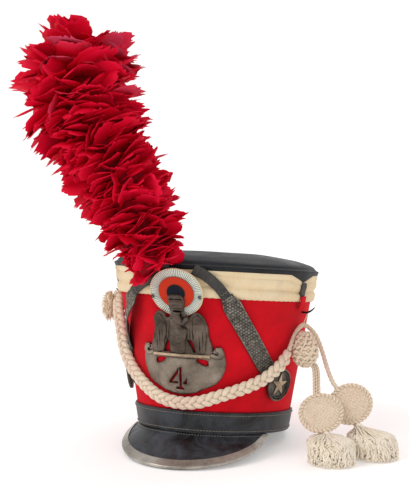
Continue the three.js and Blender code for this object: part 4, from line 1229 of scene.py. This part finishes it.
# The head hangs over the breast, with a hooked beak to one side
neck = spline([(0.5, 134, 3.5), (0.2, 129, 5.2), (2.5, 124.5, 6.2), (6.5, 123, 5.8), (11, 126.5, 4.6),
               (12.6, 129.5, 3.4)], 26)
faces_before = len(bm.faces)
tube(bm, [plate_spot(x, z, plate_back(z) + out) for x, z, out in neck],
     lambda t: mix(4.6, 3.0, smooth(t, 0.5, 0.8)) * (1 - 0.75 * smooth(t, 0.85, 1)) * MM, sides=14,
     ridge=lambda t, a: 1 + 0.05 * math.sin(t * 60) * (t < 0.7))
bm.faces.ensure_lookup_table()
for face in bm.faces[faces_before:]:
    face.material_index = BROWN
finish(bm, "plate_casting", [metal_cast, metal_painted_highlight, metal_brown], ("plate",), sharp=42,
       recalculate=False)

# %% [markdown]
# ## Cockade
#
# The cockade is ribbon gathered into a ring. The outer ring is white silk, gone greenish,
# laid in fine pleats with a cream edge. Over it lie a red-orange ring and a dark blue centre,
# which are flatter. A pleat is a fold, so the rings are spun with a lift that rises and falls
# round the turn, and the outline is scalloped with it.

# %% Cockade rings and stitches
COCKADE_WIDTH = 59
COCKADE_HEIGHT = 55
front_up = Vector((0, -math.sin(FRONT_FLARE), math.cos(FRONT_FLARE)))
front_out = Vector((0, -math.cos(FRONT_FLARE), -math.sin(FRONT_FLARE)))
cockade_up = front_up * math.cos(COCKADE_LEAN) + front_out * math.sin(COCKADE_LEAN)
cockade_out = front_out * math.cos(COCKADE_LEAN) - front_up * math.sin(COCKADE_LEAN)
cockade_base = body_point(0, COCKADE_FOOT, SEAT + 0.6) + cockade_up * (COCKADE_HEIGHT / 2)


def ribbon(name, base, dark, sheen):
    """Ribbed silk or wool, with dirt and painted shade in its pleats."""
    material, tree, surface = new_material(name, base, 0.7, Sheen_Weight=sheen, Specular_IOR_Level=0.2)
    place = add_node(tree, "UVMap", {}, uv_map="UVMap")
    clouds = add_node(tree, "TexNoise", {"Vector": place, "Scale": 0.9, "Detail": 4})
    tone = add_node(tree, "Mix", {"Factor": clouds, "A": dark, "B": base}, data_type="RGBA")
    ribs = add_node(tree, "TexWave", {"Vector": place, "Scale": 0.9, "Distortion": 0.6}, "Fac",
                    bands_direction="X")
    bump = add_node(tree, "Bump", {"Height": ribs, "Strength": 0.25, "Distance": 0.3 * MM})
    feed(surface, {"Base Color": shade_and_dirt_in_hollows(tree, tone, "#4f524a", 2.2, 0.3, 0.85, 0.9), "Normal": bump})
    return material


def cockade_spot(pleats, depth, seed):
    def place(turn, radius, height):
        fold = abs(math.sin(turn * pleats / 2 + 0.16 * math.sin(turn * 5 + seed)))
        rim = smooth(radius / (COCKADE_WIDTH / 2), 0.3, 0.8)
        radius *= 1 + 0.008 * (fold - 0.5) * rim
        height += depth * (fold - 0.55) * rim * (height > 0.7)
        up = radius * math.cos(turn) * COCKADE_HEIGHT / COCKADE_WIDTH
        return on_hat(cockade_base + Vector((1, 0, 0)) * radius * math.sin(turn) + cockade_up * up
                      + cockade_out * height)
    return place


RINGS = [
    # name, share of the radius, hole share, foot, thickness, pleats, depth, steps, colours, slot
    ("outer", 1.04, 0.3, 0.0, 1.6, 78, 1.2, 312, ("#f4f6ea", "#d3dccf"), "white_ribbon"),
    ("middle", 0.69, 0.1, 1.9, 1.0, 30, 0.2, 120, ("#d63a1a", "#bb2c10"), "orange_ribbon"),
    ("centre", 0.36, 0.0, 3.2, 0.6, 12, 0.1, 120, ("#121826", "#0b101b"), "navy_ribbon"),
]
for name, share, hole, foot, thick, pleats, depth, steps, (base, dark), slot in RINGS:
    radius = COCKADE_WIDTH / 2 * share
    hole_radius = max(COCKADE_WIDTH / 2 * hole, 0.01)
    rows = [(hole_radius, foot + thick * 0.9)]
    rows += [(mix(hole_radius, radius, t), foot + thick) for t in np.linspace(0.1, 0.95, 9)]
    rows += [(radius, foot + thick * 0.8), (radius, foot + thick * 0.15)]
    rows += [(mix(radius, hole_radius, t), foot) for t in np.linspace(0.1, 0.9, 4)]
    rows += [(hole_radius, foot)]
    if hole:
        rows.insert(0, rows[-1])
    bm = bmesh.new()
    spun(bm, rows, steps, cockade_spot(pleats, depth, share * 9))
    finish(bm, f"cockade_ribbon_{name}", ribbon(f"gathered_ribbon_{name}", base, dark, 0.0),
           (f"cockade_{name}",), sharp=70)

place = cockade_spot(1, 0, 0)
edge_ring = [place(t, COCKADE_WIDTH / 2 * 1.03, 1.4) for t in np.linspace(0, math.tau, 120)]
bm = bmesh.new()
tube(bm, edge_ring, 0.7 * MM, sides=6, ridge=lambda t, a: 1 + 0.12 * math.sin(t * 240 * math.pi))
cord_cream = ribbon("cream_edge_cord", "#e9d8b4", "#cdb98f", 0.2)
finish(bm, "cockade_edge_cord", cord_cream, sharp=70)

# Two pairs of dark stitches hold the outer ring, one pair at each side
bm = bmesh.new()
for x, height in ((-28.2, 153.2), (27.2, 155)):
    low = height - COCKADE_FOOT - COCKADE_HEIGHT / 2 - 2.4
    for step in (-0.8, 0.8):
        start = cockade_base + Vector((x + step, 0, 0)) + cockade_out * 3.1
        stitch(bm, *(on_hat(start + cockade_up * (low + reach)) for reach in (0, 4.2)), cockade_out, 0.5)
finish(bm, "cockade_stitches", new_material("black_thread", "#17171a", 0.8)[0], sharp=0)

# %% [markdown]
# ## Plume
#
# The plume is a stem bound with broad dyed goose feathers. They are cupped, they overlap like
# roof tiles, and they get longer towards the top, where the tips nod outward. Their edges are
# frayed. Some lower ones droop, and a few barbs stand loose. Each feather is a thin leaf with
# a curl and a ragged edge. They are set in rows round the stem, by the golden angle, so that
# no gap shows. Each has a tone of its own, darkened towards the stem as painted shade, and
# pinker where light has faded it.

# %% Feather material
plume_red, tree, surface = new_material("dyed_goose_feather", "#c4062c", 0.7, Specular_IOR_Level=0.12)
tone = add_node(tree, "Attribute", {}, "Fac", attribute_name="tone", attribute_type="GEOMETRY")
place = add_node(tree, "UVMap", {}, uv_map="UVMap")
parts = add_node(tree, "SeparateXYZ", {0: place}).node.outputs
# Barbs slant away from the shaft on both sides of it, about 1.2 mm apart, drawn coarser than life
off_shaft = add_node(tree, "Math", {0: parts[1]}, operation="ABSOLUTE")
slant = add_node(tree, "Math", {0: off_shaft, 1: -0.9, 2: parts[0]}, operation="MULTIPLY_ADD")
wobble = add_node(tree, "TexNoise", {"Vector": place, "Scale": 0.25, "Detail": 2})
slant = add_node(tree, "Math", {0: wobble, 1: 2.2, 2: slant}, operation="MULTIPLY_ADD")
line = add_node(tree, "CombineXYZ", {0: slant})
barbs = add_node(tree, "TexWave", {"Vector": line, "Scale": 0.26, "Distortion": 0.3, "Detail": 1}, "Fac",
                 bands_direction="X")
red = add_node(tree, "ValToRGB", {"Fac": tone}, stops=(
    (0, "#6e0012"), (0.32, "#b4001f"), (0.6, "#f00030"), (0.88, "#ff1040"), (1, "#e2587a")))
dark = add_node(tree, "Mix", {"Factor": 0.5, "A": red, "B": "#7a0014"}, data_type="RGBA")
streak = add_node(tree, "MapRange", {"Value": barbs, "From Max": 0.5, "To Min": 0.65, "To Max": 0})
colour = add_node(tree, "Mix", {"Factor": streak, "A": red, "B": dark}, data_type="RGBA")
bump = add_node(tree, "Bump", {"Height": barbs, "Strength": 0.5, "Distance": 0.6 * MM})
feed(surface, {"Base Color": colour, "Normal": bump})

# %% Stem and the feathers' places
PLUME_AXIS = [(-17, -124, 217), (-22, -124, 224), (-30, -123, 238), (-38, -121, 260), (-52, -120, 289),
              (-67, -120, 316), (-83, -120, 342), (-100, -118, 374), (-113, -117, 401), (-119, -114, 425),
              (-115, -108, 444)]
stem = spline(PLUME_AXIS, 200)
stem_ways = ways(stem)
# Shares of the stem, and how far the feathers reach there
HALF_WIDTHS = [(0, 34), (0.12, 40), (0.3, 46), (0.5, 50), (0.7, 57), (0.82, 66), (0.92, 66), (1, 54)]
GOLDEN = math.pi * (3 - math.sqrt(5))
FEATHER_CELLS = 12
FEATHER_THICK = 0.32


def half_width(share):
    return float(np.interp(share, *zip(*HALF_WIDTHS)))


def feather(bm, share, turn, length, width, lift, droop, cup, shade, seed, roll):
    """One vane. It leaves the stem at a share of its length, on the side that turn gives, rising
    by lift radians from square to the stem, and bends down by droop towards its tip."""
    low = min(int(share * 200), 199)
    centre, way = stem[low], stem_ways[low]
    first = np.cross(way, [0, 1, 0])
    first /= np.linalg.norm(first)
    out = first * math.cos(turn) + np.cross(way, first) * math.sin(turn)
    side = np.cross(way, out)
    spine, shape = [], []
    spot = centre + out * 2.0
    for row in range(FEATHER_CELLS + 1):
        t = row / FEATHER_CELLS
        angle = lift - droop * t ** 1.4
        direction = out * math.cos(angle) + way * math.sin(angle)
        normal = way * math.cos(angle) - out * math.sin(angle)
        turned = math.cos(roll) * normal + math.sin(roll) * side
        spine.append(spot + side * (0.1 * length * math.sin(seed * 1.7) * t ** 2))
        shape.append((turned, np.cross(turned, direction)))
        spot = spot + direction * (length / FEATHER_CELLS)

    def place_vane(u, v, layer):
        row = round(u * FEATHER_CELLS)
        across = 2 * v - 1
        leaf = min(max(u, 0.03) / 0.42, 1) ** 0.55 * math.sqrt(1 - (max(u - 0.7, 0) / 0.33) ** 2)
        rib = math.copysign(4, across) * abs(across) ** 6
        fray = 0.5 * noise.noise(Vector((u * length * 0.22, rib, seed)))
        fray += 0.5 * noise.noise(Vector((u * length * 0.8, across * 3, seed + 9)))
        reach = width / 2 * leaf * (1 + 0.55 * fray * abs(across) ** 3)
        curl = cup * reach * across ** 2 * (0.3 + 0.7 * u)
        ripple = 0.9 * noise.noise(Vector((u * 4, across * 2.2, seed + 3))) * abs(across)
        face, along = shape[row]
        point = spine[row] + along * across * reach + face * (curl + ripple + FEATHER_THICK * bool(layer))
        if row == FEATHER_CELLS:
            point = point + (spine[-1] - spine[-2]) * 1.8 * noise.noise(Vector((across * 9, seed, 1)))
        return on_table(point)

    tone_layer = bm.verts.layers.float_color["tone"]
    sheet(bm, FEATHER_CELLS, 8, place_vane)
    uv = bm.loops.layers.uv.verify()
    for face in bm.faces:
        for loop in face.loops:
            u, v = loop[uv].uv
            loop[uv].uv = (u * length, (2 * v - 1) * width / 2)
            # Painted shade: each feather's tone is darker towards the stem
            depth = 0.6 + 0.4 * min(u * 1.25, 1)
            loop.vert[tone_layer] = (shade * depth, shade * depth, shade * depth, 1)


# %% Feathers, row by row
random.seed(4)
FEATHERS = [
    # name, first share, last share, how many
    ("plume_feathers_low", 0.0, 0.4, 150),
    ("plume_feathers_middle", 0.4, 0.72, 130),
    ("plume_feathers_top", 0.72, 1.0, 150),
]
plume_pieces = []
for name, low_share, high_share, count in FEATHERS:
    bm = bmesh.new()
    bm.verts.layers.float_color.new("tone")
    for i in range(count):
        share = mix(low_share, high_share, (i + random.random()) / count)
        reach = half_width(share) * random.uniform(0.82, 1.12)
        top = smooth(share, 0.8, 1)
        lift = mix(random.uniform(-0.05, 0.5), random.uniform(0.1, 0.95), top)
        droop = random.uniform(0.0, 0.7)
        reach *= mix(1, 0.86, smooth(share, 0.9, 1))
        if share < 0.12:
            lift = random.uniform(-0.2, 0.25)
            droop = random.uniform(-0.1, 0.3)
            reach *= 0.8
        faded = 0.22 * smooth(share, 0.6, 1) * random.random()
        shade = min(random.uniform(0.6, 0.88) + faded, 1)
        vane = bmesh.new()
        vane.verts.layers.float_color.new("tone")
        feather(vane, share, turn=i * GOLDEN + random.uniform(-0.3, 0.3), length=reach * 1.04,
                width=random.uniform(24, 36) * mix(0.95, 1.3, share), lift=lift, droop=droop,
                cup=random.uniform(-0.4, 0.35), shade=shade, seed=random.uniform(0, 90),
                roll=random.gauss(0, 0.45))
        joined(bm, vane)
    plume_pieces.append((bm, name))
# Short down fills the middle, so that no light shows through; its very dark tone is painted shade
core = bmesh.new()
core_shade_layer = core.verts.layers.float_color.new("tone")
CORE_SHADE_TONE = (0.12, 0.12, 0.12, 1)
tube(core, [on_table(spot) for spot in stem[::2]],
     lambda t: half_width(t) * (0.5 - 0.3 * smooth(t, 0.85, 1)) * MM, sides=28,
     ridge=lambda t, a: 1 + 0.22 * noise.noise(Vector((t * 30, math.cos(a) * 3, math.sin(a) * 3))))
for vert in core.verts:
    vert[core_shade_layer] = CORE_SHADE_TONE
joined(plume_pieces[0][0], core)
for bm, name in plume_pieces:
    finish(bm, name, plume_red, ("plume",) if name.endswith("top") else (), sharp=0,
           recalculate=False)

# %% [markdown]
# ## Cotton for the cords
#
# The cords are worsted cotton, once white, now cream with pinkish stains where they touched
# the red cloth. Every part of them is made of twisted yarn, so the finish has fine slanting
# turns along each strand, fine specks of dirt, and painted shade in the hollows.

# %% Cotton
def cotton(name, base, dark, stain, twist_mm=1.6):
    """Twisted yarn: pinkish stains, fine dirt, painted shade in its hollows, and slanting turns in the bump.
    """
    material, tree, surface = new_material(name, base, 0.88, Sheen_Weight=0.25, Sheen_Roughness=0.6)
    spot = add_node(tree, "TexCoord", {}, "Object")
    clouds = add_node(tree, "TexNoise", {"Vector": spot, "Scale": 28, "Detail": 3})
    fine = add_node(tree, "TexNoise", {"Vector": spot, "Scale": 520, "Detail": 2})
    spread = add_node(tree, "MapRange", {"Value": clouds, "From Min": 0.5, "From Max": 0.72, "To Max": 0.55})
    stained = add_node(tree, "Mix", {"Factor": spread, "A": base, "B": stain}, data_type="RGBA")
    dirt = add_node(tree, "MapRange", {"Value": fine, "From Min": 0.56, "From Max": 0.34, "To Max": 0.3})
    colour = add_node(tree, "Mix", {"Factor": dirt, "A": stained, "B": dark}, data_type="RGBA")
    # Painted shade in the hollows between the yarns
    hollow = add_node(tree, "AmbientOcclusion", {"Distance": 2 * MM}, "AO", samples=6)
    shaded = add_node(tree, "Mix", {"Factor": hollow, "A": dark, "B": colour}, data_type="RGBA")
    turns = add_node(tree, "UVMap", {}, uv_map="UVMap")
    parts = add_node(tree, "SeparateXYZ", {0: turns}).node.outputs
    slant = add_node(tree, "Math", {0: parts[1], 1: twist_mm * 3, 2: parts[0]}, operation="MULTIPLY_ADD")
    line = add_node(tree, "CombineXYZ", {0: slant})
    yarn = add_node(tree, "TexWave", {"Vector": line, "Scale": 0.314 / twist_mm}, "Fac",
                    bands_direction="X")
    bump = add_node(tree, "Bump", {"Height": yarn, "Strength": 0.6, "Distance": 0.4 * MM})
    rough = add_node(tree, "Bump", {"Height": fine, "Strength": 0.5, "Distance": 0.5 * MM, "Normal": bump})
    feed(surface, {"Base Color": shaded, "Normal": rough})
    return material


cotton_cream = cotton("worsted_cotton_cream", "#ecd9c0", "#a88d70", "#e2b8ae")
cotton_beige = cotton("woven_cotton_beige", "#f0dcc4", "#a0855f", "#ecc9b4")
cotton_pale = cotton("combed_cotton_fringe", "#fff6e6", "#c4aa84", "#f6e2c0")
cotton_brown = cotton("teased_wool_tuft", "#fff0da", "#e2c49c", "#f6e8d2")

# %% [markdown]
# ## Plaited cord
#
# Across the front hangs a plait of three strands, 15 mm wide, from the left hook down past the
# plate and up to the right. A plait is three strands, each on the same figure of eight, a
# third of a turn apart. The strands swell at the outside of each bend.

# %% Plait across the front
STRAND_RADIUS = 3.15
STRAND_ACROSS = 4.3
STRAND_OUT = 1.7
BRAID_PITCH = 28
# Turns in degrees, heights, and outs from the body
BRAID_ROUTE = [
    (-81, 150, 9.8), (-80, 143, 9.2), (-75, 136, 7.8), (-69, 127, 7.2), (-63.5, 115, 6.9), (-60, 104, 7),
    (-54, 88, 8), (-44.7, 70, 8), (-34.6, 57, 8), (-24, 45.8, 8.5), (-14, 37.8, 9.5), (-4.2, 34, 9.5),
    (5.6, 33.3, 9), (14.8, 36.3, 9), (23.6, 41.8, 8.5), (31.9, 47, 8), (42.9, 54.5, 8.5), (52.1, 62.5, 10),
    (59.5, 72.8, 11.5), (65.6, 83.1, 11), (69.5, 94.5, 9.5),
]


routed = [on_hat(body_point(math.radians(turn), height, out))
          for turn, height, out in spline(BRAID_ROUTE, 300)]
braid_line, braid_length = even(routed, step=1.5 * MM)
braid_ways = ways(braid_line)
last = len(braid_line) - 1
outward = (braid_line - np.array(on_hat((0, 0, 100)))) * [1, 1, 0]
outward /= np.linalg.norm(outward, axis=1)[:, None]
# At the left the plait is twisted, so that its flat side faces forward
FORWARD = np.array([0.36, -0.93, 0])
for i, way in enumerate(outward):
    turned = way + FORWARD * 2.2 * (1 - smooth(i / len(outward), 0.2, 0.5))
    outward[i] = turned / np.linalg.norm(turned)
bm = bmesh.new()
for k in range(3):
    strand = []
    for i, spot in enumerate(braid_line):
        phase = math.tau * (i * braid_length / last / (BRAID_PITCH * MM) + k / 3)
        out = outward[i] - braid_ways[i] * np.dot(outward[i], braid_ways[i])
        out /= np.linalg.norm(out)
        across = np.cross(braid_ways[i], out) * STRAND_ACROSS * math.sin(phase)
        share = min(min(i, last - i) / 6, 1) * 0.7 + 0.3
        strand.append(spot + (across + out * STRAND_OUT * math.sin(2 * phase)) * MM * share)
    tube(bm, strand, STRAND_RADIUS * MM, sides=14, ups=outward, tip=0.9,
         ridge=lambda t, a: 1 + 0.045 * math.sin(3 * a + t * braid_length / MM * 1.5))
plait = finish(bm, "plaited_cord", cotton_cream, ("braid",), sharp=0)

TUFT_SIZE = (13, 15, 34)
tuft_centre = np.array(on_hat(body_point(math.radians(-80), BAND_FOOT - 17, 20.9)))
bm = bmesh.new()
bmesh.ops.create_uvsphere(bm, u_segments=20, v_segments=14, radius=1)
for vert in bm.verts:
    spot = Vector([vert.co[k] * TUFT_SIZE[k] * 0.42 for k in range(3)])
    vert.co = Vector(tuft_centre) + spot * MM * (1 + 0.16 * noise.noise(vert.co * 5))
random.seed(12)
for k in range(620):
    way = Vector((random.gauss(0, 1), random.gauss(0, 1), random.gauss(0, 0.9))).normalized()
    start = tuft_centre + np.array([way[j] * TUFT_SIZE[j] * 0.4 for j in range(3)]) * MM
    length = random.uniform(2.5, 6.5) * MM
    fall = np.array([0, 0, -1.0]) * random.uniform(0.1, 0.6)
    hair = [start + np.array(way) * length * t + fall * length * t * t for t in np.linspace(0, 1, 4)]
    own_tube(bm, hair, 0.3 * MM, sides=3, tip=0.3)
tuft = finish(bm, "worn_tuft", cotton_brown, ("tuft",), sharp=0)
print("plait length, m:", round(float(braid_length), 4))

# %% [markdown]
# ## Round cord, its knot and its ends
#
# At the right the round cord arches over a thin string from the hook and runs down to two
# woven discs with fringed ends. It is three yarns twisted together. A wound knot fills the
# arch, and a flat cord goes down from it to the nearer disc.

# %% Round cord, flat cord and string
ROUND_ROUTE = [
    (103.2, -35, 117.4), (104.2, -30.6, 122.8), (105.2, -26.1, 128.8), (106.6, -20.8, 134.6),
    (108.6, -14.2, 139.9), (111.9, -8.2, 142.9), (118.1, -6.1, 139.6), (125.4, -6.5, 132.4),
    (131.2, -7.9, 122), (136.5, -10.8, 110.3), (142.7, -14.6, 95.4), (148.8, -17.6, 83.6),
    (152.4, -18.4, 78.6), (154.6, -18.7, 76.1), (156.4, -18.9, 74),
]
FLAT_ROUTE = [(127.9, -21.8, 101.7), (131, -23.2, 97.2), (132.9, -26, 91), (134.5, -30.2, 83.5),
              (136, -34.4, 75.6), (136.8, -36.2, 72), (138, -37.8, 69)]
STRING_ROUTE = [(114.5, -1.6, 154.6), (113.8, -4.2, 151), (112.2, -7.7, 144.9)]


def twisted(bm, line, strands, offset, radius, pitch, sides=8):
    """Yarns laid round a line, in metres, each a helix about it."""
    forward = ways(line)
    ups = carried(np.cross(forward[0], [0.3, 0.9, 0.1]), forward)
    step = float(np.linalg.norm(line[1] - line[0]))
    for k in range(strands):
        yarn = []
        for i, spot in enumerate(line):
            up = ups[i] / np.linalg.norm(ups[i])
            angle = math.tau * (i * step / pitch + k / strands)
            yarn.append(spot + offset * (up * math.cos(angle) + np.cross(forward[i], up) * math.sin(angle)))
        tube(bm, yarn, radius, sides=sides)


round_line, round_length = even([on_table(p) for p in spline(ROUND_ROUTE, 200)], step=1.0 * MM)
bm = bmesh.new()
twisted(bm, round_line, 3, 1.22 * MM, 1.5 * MM, 15 * MM, 10)
round_cord = finish(bm, "round_cord", cotton_cream, ("cord_round",), sharp=0)

flat_line, flat_length = even([on_table(p) for p in spline(FLAT_ROUTE, 80)], step=1.0 * MM)
camera_side = np.array([math.cos(CAMERA_TURN), math.sin(CAMERA_TURN), 0])
bm = bmesh.new()
for shift in (-2.7, 0, 2.7):
    for turn in (0, 0.5):
        lane = []
        for i, spot in enumerate(flat_line):
            phase = math.tau * (i / 7.0 + turn + shift)
            lane.append(spot + camera_side * (shift + 0.55 * math.cos(phase)) * MM
                        + FORWARD * 1.3 * math.sin(phase) * MM)
        tube(bm, lane, 1.25 * MM, sides=8)
flat_cord = finish(bm, "flat_cord", cotton_beige, ("cord_flat",), sharp=0)

string_line, _ = even([on_table(p) for p in spline(STRING_ROUTE, 40)], step=0.6 * MM)
bm = bmesh.new()
twisted(bm, string_line, 2, 0.38 * MM, 0.45 * MM, 3 * MM, 6)
string = finish(bm, "string_cord", cotton_cream, ("hook_string",), sharp=0)

# %% Wound knot
KNOT_SIZE = (28, 24, 40)


def knot_spot(turn, share, out=0.0):
    """A point on the pear-shaped knot: share 0 at its foot, 1 at its top."""
    rise = math.cos(math.pi * share)
    round_off = math.sin(math.pi * share)
    swell = 1 + 0.2 * rise
    return on_table(np.array(KNOT_PLACE) + np.array([
        (KNOT_SIZE[0] / 2 - 1.2 + out) * swell * round_off * math.sin(turn),
        (KNOT_SIZE[1] / 2 - 1.2 + out) * swell * round_off * -math.cos(turn),
        -(KNOT_SIZE[2] / 2 - 1.0 + out) * rise,
    ]))


bm = bmesh.new()
spun(bm, [(t, 0) for t in np.linspace(0.004, 0.996, 30)], 48, lambda turn, t, h: knot_spot(turn, t))
for lane in range(9):
    low = 0.09 + 0.092 * lane
    wound = []
    start = (lane % 2) * math.pi
    for turn in np.linspace(0, math.tau, 90):
        wave = turn * 9 + start
        wound.append(knot_spot(turn, low + 0.022 * math.sin(wave), 0.5 + 0.75 * math.cos(wave)))
    tube(bm, np.array(wound), 1.75 * MM, sides=8, ridge=lambda t, a: 1 + 0.1 * math.sin(2 * a + t * 190))
for k in range(7):
    wound = [knot_spot(k * 0.9 + 1.7 * t, 0.12 + 0.78 * t, 0.9 + 0.5 * math.sin(t * 30 + k))
             for t in np.linspace(0, 1, 50)]
    tube(bm, np.array(wound), 1.3 * MM, sides=7)
knot = finish(bm, "wound_knot", cotton_beige, ("knot",), sharp=0)

# %% [markdown]
# ## Woven discs
#
# Each disc is a small round basket of cotton cords, woven over and under at 1.7 mm, with a
# rim of two heavier cords twisted together. A square grid pressed into a circle gives threads
# that bend towards the rim as the real ones do.

# %% Woven discs
DISC_WIDTH = 50
DISC_HEIGHT = 46
DISC_THICK = 6.5
DISC_CELLS = (60, 54)
# Name, the disc's middle, where its fringe starts, and the fringe's middle on the table
CORD_ENDS = [("a", (145.1, -46.1, 52.3), (153.5, -55.9, 32.5), (162, -60.4, 0)),
             ("b", (171, -18.8, 58.7), (180.8, -22.4, 36.2), (200, -20.5, 0))]
for name, middle, foot, _ in CORD_ENDS:
    centre = np.array(middle)
    down = np.array(foot) - centre
    down /= np.linalg.norm(down)
    face = np.cross(down, camera_side)
    face /= np.linalg.norm(face)
    side_way = np.cross(face, down)

    def on_disc(x, y, inset, lift):
        """A point at shares of the half width and half height, on a disc that is a little bent."""
        across = side_way * x * (DISC_WIDTH / 2 - inset)
        along = down * y * (DISC_HEIGHT / 2 - inset)
        return on_table(centre + across + along + face * (lift + 0.9 * math.sin(x * 2.2 + y)))

    def disc_spot(u, v, side):
        a, b = 2 * u - 1, 2 * v - 1
        x, y = a * math.sqrt(1 - b * b / 2), b * math.sqrt(1 - a * a / 2)
        reach = min(math.hypot(x, y), 1)
        over = 0.75 * math.sin(math.pi * round(u * DISC_CELLS[0]) / 3)
        over *= math.sin(math.pi * round(v * DISC_CELLS[1]) / 3) * (reach < 0.96)
        bulge = (DISC_THICK / 2 - 1.1) * math.sqrt(max(1 - reach ** 4, 0)) + 0.7
        return on_disc(x, y, 2.6, (bulge + over) * (1 if side else -1))

    bm = bmesh.new()
    sheet(bm, *DISC_CELLS, disc_spot, (DISC_WIDTH, DISC_HEIGHT))
    rim_line = [on_disc(math.sin(turn), -math.cos(turn), 2.4, 0) for turn in np.linspace(0, math.tau, 161)]
    twisted(bm, np.array(rim_line), 2, 1.35 * MM, 1.65 * MM, 9.4 * MM, 8)
    finish(bm, f"woven_disc_{name}", cotton_beige, (f"raquette_{name}",),
                             sharp=0)

# %% [markdown]
# ## Fringes
#
# Below each disc hangs a thick fringe of twisted threads. It stands on the table, so its
# threads spread over a rounded heap, down to ends that turn up a little. Each thread has few
# sides, because there are some hundreds; an inner heap closes the gaps between them.

# %% Fringed ends
FRINGE_WIDTH = 56
FRINGE_DEPTH = 0.86
FRINGE_HEIGHT = 31
DOWN = np.array([0, 0, -1.0])
random.seed(8)
for name, _, start, middle in CORD_ENDS:
    centre, head = np.array(middle, float), np.array(start)

    def heap(turn, t, out=0.0):
        """A point on the heap: t 0 at its top, 1 at the table."""
        reach = (FRINGE_WIDTH / 2 - 3.2 + out) * math.sin(min(t, 0.5) / 0.5 * math.pi / 2) ** 0.8
        reach *= 1 - 0.05 * max(t - 0.66, 0)
        height = (FRINGE_HEIGHT - 3 + out) * (1 - min(t, 1) ** 2.2)
        base = centre + (head - centre) * np.array([1, 1, 0]) * (1 - t) ** 2 * 0.8
        return base + np.array([reach * math.sin(turn), -reach * FRINGE_DEPTH * math.cos(turn),
                                max(height, 0.4)])

    bm = bmesh.new()
    spun(bm, [(t, 0) for t in np.linspace(0.01, 0.98, 16)], 40,
         lambda turn, t, h: on_table(heap(turn, t, -2.2)))
    for k in range(380):
        turn = random.uniform(0, math.tau)
        first = random.uniform(0.0, 0.55)
        last = min(first + random.uniform(0.3, 0.6), 1)
        lift = random.uniform(-0.8, 1.6)
        drift = random.uniform(-0.25, 0.25)
        thread = []
        for t in np.linspace(0, 1, 7):
            spot = heap(turn + drift * t + 0.05 * math.sin(t * 9 + k), mix(first, last, t),
                        lift + 1.3 * smooth(t, 0.75, 1) * random.uniform(0, 1))
            spot[2] = max(spot[2], 1.3)
            thread.append(on_table(spot))
        if k % 4 == 0:
            thread.insert(0, on_table(head + np.array([random.gauss(0, 1.6), random.gauss(0, 1.6), 0.5])))
        own_tube(bm, np.array(thread), random.uniform(0.8, 1.1) * MM, sides=5, tip=0.8,
                 ridge=lambda t, a: 1 + 0.16 * math.sin(t * 40))
    for k in range(760):
        turn = random.uniform(0, math.tau)
        t = random.uniform(0.22, 0.97) ** 0.9
        way = np.array([random.gauss(0, 1), random.gauss(0, 1), random.gauss(-0.1, 0.8)])
        way /= np.linalg.norm(way)
        start = heap(turn, t, random.uniform(-0.6, 0.6))
        curl = [start + (way * s + DOWN * s * s * 0.6) * 2.9 for s in (-0.5, 0, 0.5)]
        for spot in curl:
            spot[2] = max(spot[2], 1.6)
        own_tube(bm, np.array([on_table(spot) for spot in curl]), random.uniform(1.0, 1.4) * MM,
                 sides=5, tip=0.8)
    throat_way = centre - DOWN * (FRINGE_HEIGHT - 8) - head
    throat = [on_table(head + throat_way * t) for t in np.linspace(-0.1, 0.7, 9)]
    tube(bm, np.array(throat), lambda t: mix(3.0, 4.5, t) * MM, sides=20,
         ridge=lambda t, a: 1 + 0.08 * abs(math.sin(8 * a)))
    finish(bm, f"fringe_{name}", cotton_pale, (f"tassel_{name}",), sharp=0)

print("round cord length, m:", round(float(round_length), 4), "flat cord", round(float(flat_length), 4))
